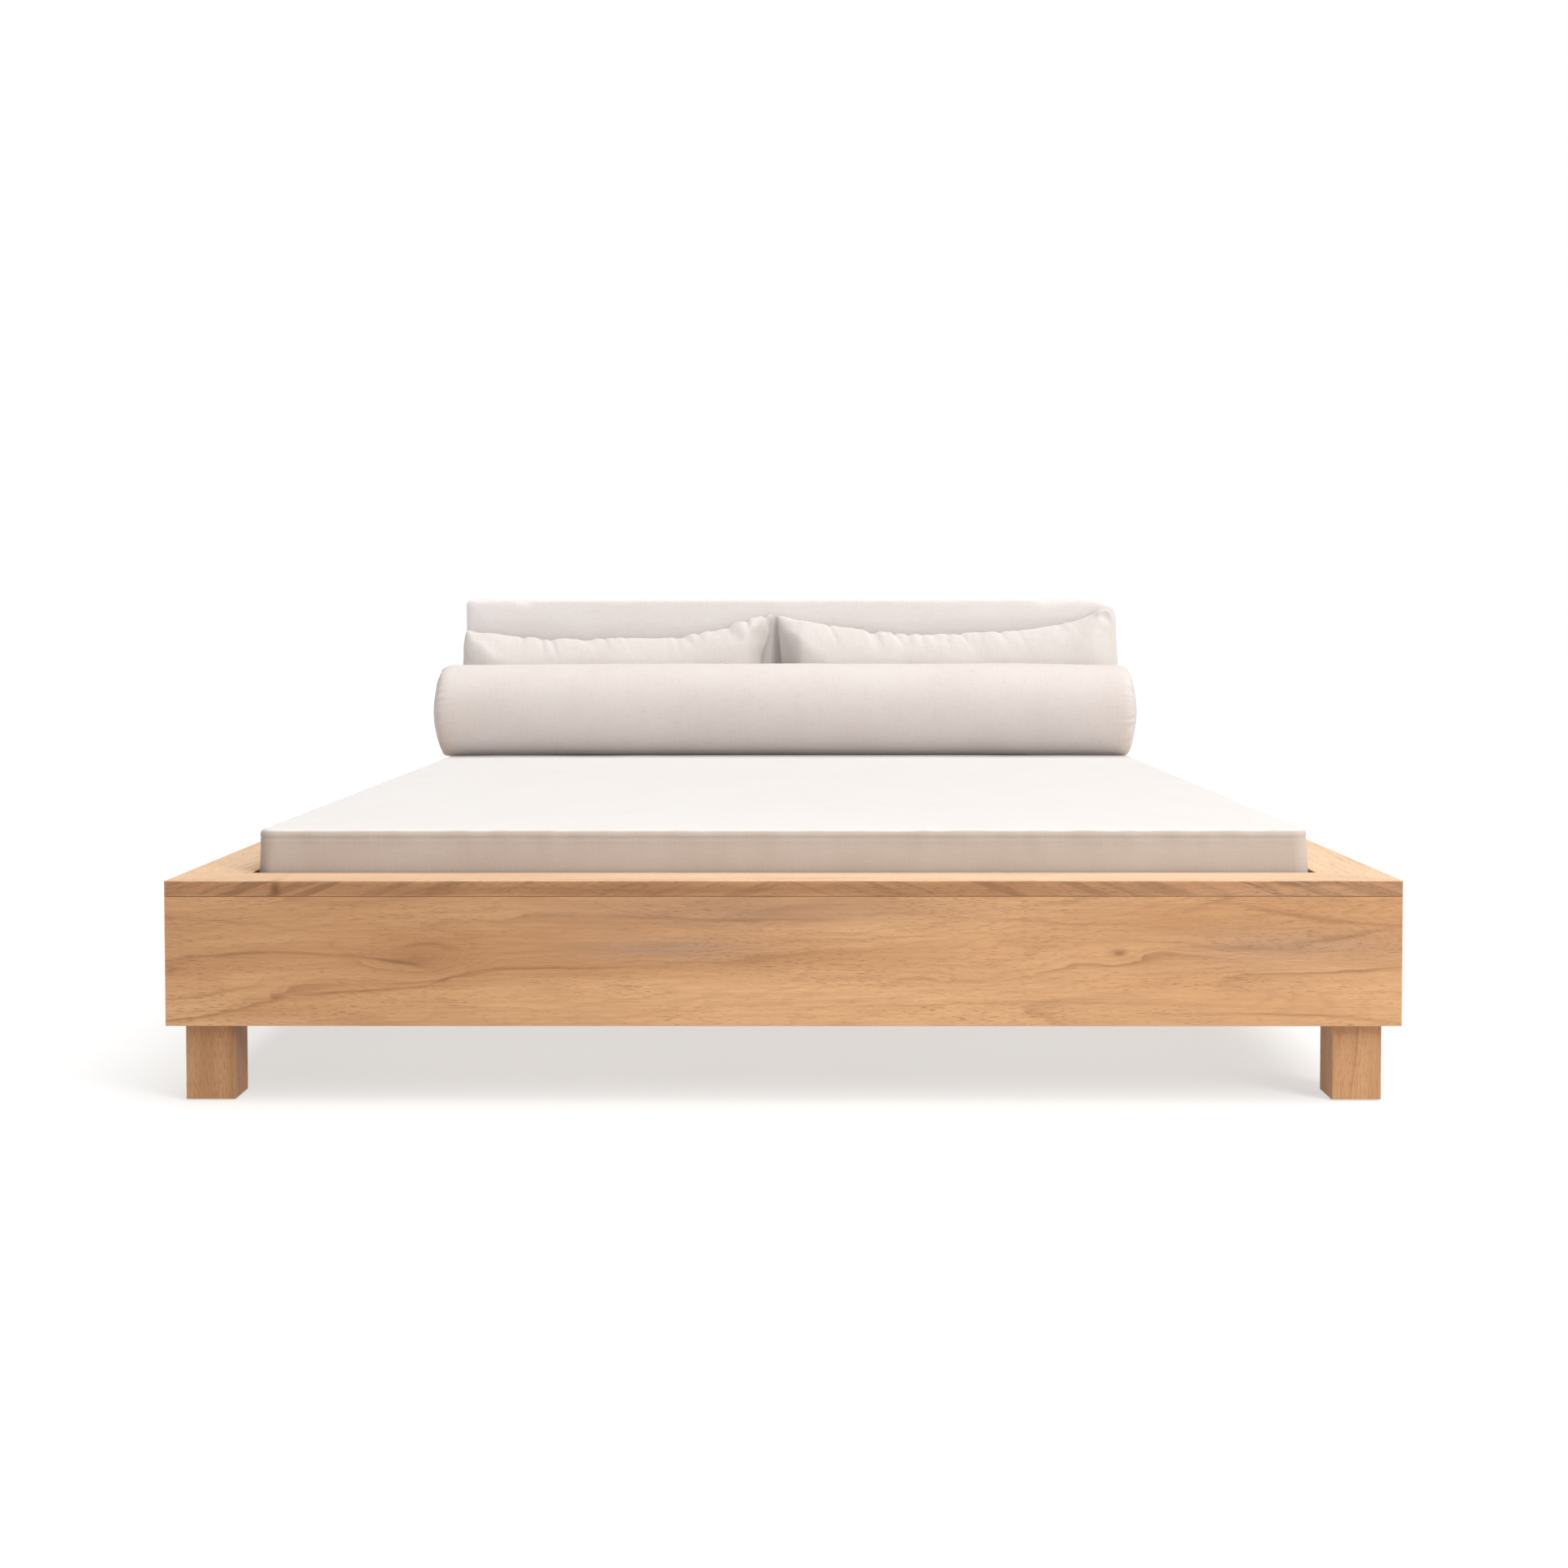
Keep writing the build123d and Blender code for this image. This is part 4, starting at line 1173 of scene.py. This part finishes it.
    def press(self, points: np.ndarray) -> None:
        """Rests the pillow softly on the mattress, the bolster and the back cushion.

        Args:
            points: Its points, which move.
        """
        low, high = self.box
        roll_low, roll_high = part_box("bolster_cover")
        radius = (roll_high.y - roll_low.y) / 2 + self.clear
        drop = points[:, 2] - (roll_high.z - radius)
        face = (roll_low.y + roll_high.y) / 2 + np.sqrt(np.maximum(radius ** 2 - drop ** 2, 0.0))
        into = points[:, 1] - face
        pressed = (points[:, 1] + face + np.sqrt(into ** 2 + self.ease ** 2)) / 2
        points[:, 1] = np.where(np.abs(drop) < radius, pressed, points[:, 1])
        points[:, 1] = np.minimum(points[:, 1], high.y)
        points[:, 2] = np.maximum(points[:, 2], low.z)


@dataclass
class BackCushion(SoftPiece):
    """The back cushion: a long box cushion on edge, its front and back panels seamed to the boxing."""

    stuffing: Stuffing | None = Stuffing(2.0, (0.003, 0.004, 0.003), 25.0)
    corner: float = 0.012
    eased: float = 0.050
    step: float = 0.0105
    seam: float = 0.0018
    swelled: float = 0.010
    back_share: float = 0.3
    spread: float = 0.005

    def profile(self, half: float, front: float, back: float) -> list[tuple]:
        """The line from the middle of the front panel, over the boxing, to the middle of the back.

        Args:
            half: Half the cushion's height.
            front: Where the front panel's seam is.
            back: Where the back panel's seam is.

        Returns:
            Pairs of the inset from the edge and the place from front to back.
        """
        count = int(half / self.step)
        panel = [(half * (1 - i / count), self.swelled * (1 - (i / count) ** 3)) for i in range(count)]
        panel += [(4 * MM, 0.4 * MM), (1.2 * MM, 0.8 * MM)]
        line = [(inset, front - out) for inset, out in panel]
        line += [(0.0, front + 1.5 * MM), (self.seam, front + 3.5 * MM), (0.0, front + 6 * MM)]
        line += [(-1.5 * MM * math.sin(math.pi * s), front + 6 * MM + (back - front - 12 * MM) * s)
                 for s in np.linspace(0.14, 0.86, 6)]
        line += [(0.0, back - 6 * MM), (self.seam, back - 3.5 * MM), (0.0, back - 1.5 * MM)]
        return line + [(inset, back + out * self.back_share) for inset, out in reversed(panel)]

    def cover(self) -> bpy.types.Object:
        """Sews the cover, round the profile.

        Returns:
            The cover.
        """
        low, high = self.box
        middle, half = (low + high) / 2, (high - low) / 2
        profile = self.profile(half.z, low.y + self.swelled, high.y - self.swelled * self.back_share)
        counts = (int(2 * half.z / self.step), int(2 * half.x / self.step), 5)
        rings = []
        for inset, place in profile:
            ring = rounded_ring((half.x - inset, half.z - inset), max(self.corner - inset, 0.0), counts)
            rings.append([(middle.x + x, place, middle.z + z) for x, z in ring])
        return self.start(*lofted(rings, path_lengths(profile)))

    def settle(self, piece: bpy.types.Object) -> None:
        """Lets the cloth rise and fall, rounds the right ear and rests the cushion on the mattress.

        Args:
            piece: The cushion.
        """
        low, high = self.box
        points, normals = read_points(piece), read_points(piece, normals=True)
        slow = ripple(points, (4.0, 6.0, 5.0), 12.2) * 1.3 * MM
        slow += ripple(points, (14.0, 14.0, 14.0), 3.1) * 0.5 * MM
        points += normals * slow[:, None]
        least, most = points[:, 0].min(), points[:, 0].max()
        share = (points[:, 0] - least) / (most - least)
        points[:, 0] = low.x - self.spread + share * (high.x - low.x + 2 * self.spread)
        away = points[:, [0, 2]] - np.array((high.x - self.eased, high.z - self.eased))
        squared = away.max(axis=1) / np.maximum(np.hypot(*away.T), 1e-6)
        round_off = np.where(away.min(axis=1) > 0, squared, 1.0)
        points[:, [0, 2]] += away * (round_off - 1.0)[:, None]
        points[:, 2] = np.clip(points[:, 2], low.z, high.z + 1 * MM)
        points[:, 1] = np.clip(points[:, 1], low.y, high.y)
        move_points(piece, points)


@dataclass(frozen=True)
class Studio:
    """The plain pale floor, soft light from above and the right, and the camera."""

    floor_size: float = 60.0
    floor_glow: float = 0.57
    sky_light: float = 0.35
    sky_colour: Colour = (1.0, 0.99, 0.985)
    window_place: tuple[float, float, float] = (3.4, -4.2, 2.6)
    window_aim: tuple[float, float, float] = (0.0, -1.0, 0.3)
    lens: float = 49.38
    shift: float = -0.0562
    eye: tuple[float, float, float] = (0.0232, -4.124, 0.679)
    pitch: float = 2.0
    yaw: float = -0.39
    roll: float = 0.06

    def floor(self) -> None:
        """Lays the floor."""
        only(None)
        bpy.ops.mesh.primitive_plane_add(size=self.floor_size, location=(0.0, 0.0, 0.0))
        plane = bpy.context.object
        plane.name = "floor"
        desk = Desk("floor", Specular_IOR_Level=0.1, Emission_Color=(1.0, 1.0, 1.0, 1.0),
                    Emission_Strength=self.floor_glow)
        tone = desk.cloud(desk.place(), (0.7, 0.7, 0.7))
        plane.data.materials.append(desk.join(
            Base_Color=desk.mix(tone, (0.39, 0.39, 0.39), (0.38, 0.38, 0.38)),
            Roughness=desk.between(tone, 0.0, 1.0, 0.9, 0.95)))

    def lamp(self, name: str, kind: str, energy: float, colour: Colour, place: Vector, turn: Euler,
             **settings: float) -> None:
        """Adds a broad soft light.

        Args:
            name: Its name.
            kind: SUN or AREA.
            energy: Its strength, or its power in watts.
            colour: Its colour.
            place: Where it stands.
            turn: The way it faces.
            settings: The angle that a sun spans, or the length of an area's side.
        """
        light = bpy.data.lights.new(name, kind)
        light.energy, light.color = energy, colour
        for key, value in settings.items():
            setattr(light, key, value)
        lamp = bpy.data.objects.new(name, light)
        lamp.location, lamp.rotation_euler = place, turn
        bpy.context.scene.collection.objects.link(lamp)

    def sky(self) -> None:
        """Sets an even white sky, which lights less than it shows."""
        world = bpy.data.worlds.new("sky")
        bpy.context.scene.world = world
        world.use_nodes = True
        nodes, links = world.node_tree.nodes, world.node_tree.links
        nodes.clear()
        kinds = ("OutputWorld", "MixShader", "LightPath")
        output, mix, path = (nodes.new("ShaderNode" + kind) for kind in kinds)
        links.new(path.outputs["Is Camera Ray"], mix.inputs[0])
        lit, seen = (self.sky_colour, self.sky_light), ((1.0, 1.0, 1.0), 1.0)
        for slot, (colour, strength) in enumerate((lit, seen), start=1):
            background = nodes.new("ShaderNodeBackground")
            background.inputs[0].default_value = (*colour, 1.0)
            background.inputs[1].default_value = strength
            links.new(background.outputs[0], mix.inputs[slot])
        links.new(mix.outputs[0], output.inputs[0])

    def camera(self) -> None:
        """Sets up the camera, in front of the foot of the bed and a little above the cushions."""
        data = bpy.data.cameras.new("camera")
        data.lens = self.lens
        data.sensor_width = 36.0
        data.shift_y = self.shift
        data.dof.use_dof = False
        camera = bpy.data.objects.new("camera", data)
        camera.location = self.eye
        camera.rotation_euler = (math.radians(90.0 - self.pitch), math.radians(self.roll),
                                 math.radians(-self.yaw))
        bpy.context.scene.collection.objects.link(camera)
        bpy.context.scene.camera = camera

    def build(self) -> None:
        """Sets up everything round the bed."""
        self.floor()
        self.sky()
        overhead = Euler((math.radians(3.0), math.radians(14.0), 0.0))
        self.lamp("overhead", "SUN", 3.0, (1.0, 0.99, 0.975), Vector(), overhead, angle=math.radians(75.0))
        place = Vector(self.window_place)
        towards = (Vector(self.window_aim) - place).to_track_quat("-Z", "Y").to_euler()
        self.lamp("window", "AREA", 138.0, (1.0, 0.965, 0.93), place, towards, size=1.8)
        self.camera()
        bpy.context.scene.view_settings.view_transform = "Standard"


def main() -> None:
    """Builds and dresses the bed in order, and reports each piece."""
    logging.basicConfig(level=logging.INFO, format="%(name)s: %(message)s")
    Studio().build()
    Woodwork().dress()
    cotton, linen, roll, back = COTTON_WITH_SHADED_SIDES.make(), LINEN.make(), ROLL_LINEN_WARM_SHADE.make(), BACK_LINEN_PAINTED_LIGHT.make()
    Mattress("mattress", "mattress", ("mattress_cover", "mattress_core"), "mattress_cotton", 0.9,
             cotton).build()
    Bolster("bolster", "bolster", ("bolster_cover", "bolster_fill"), "cushion_linen", 0.9, roll).build()
    Pillow("pillow_left", "pillow_left", ("pillow_left_cover", "pillow_left_fill"), "cushion_linen", 0.55,
           linen, ears=((0.0, 0.912), (0.13, 0.880), (0.25, 0.851), (0.48, 0.853), (0.715, 0.865),
                        (0.83, 0.918), (0.91, 0.970), (1.0, 1.025)),
           inner=(0.0, 0.020), outer=(0.0, 0.022), tips=(0.0, 0.004), thin=(0.0, 0.62), seed=1.7).build()
    Pillow("pillow_right", "pillow_right", ("pillow_right_cover", "pillow_right_fill"), "cushion_linen",
           0.55, linen, ears=((0.0, 0.987), (0.025, 0.965), (0.21, 0.874), (0.47, 0.838), (0.69, 0.858),
                              (0.84, 0.901), (0.93, 0.967), (0.97, 1.015), (1.0, 0.985)),
           inner=(0.014, 0.0), tips=(0.005, 0.0), thin=(0.42, 0.15), seed=8.3).build()
    BackCushion("back_cushion", "back_cushion", ("back_cushion_cover", "back_cushion_core"),
                "cushion_linen", 0.8, back).build()
    LOG.info("the bed is done")


if __name__ == "__main__":
    main()
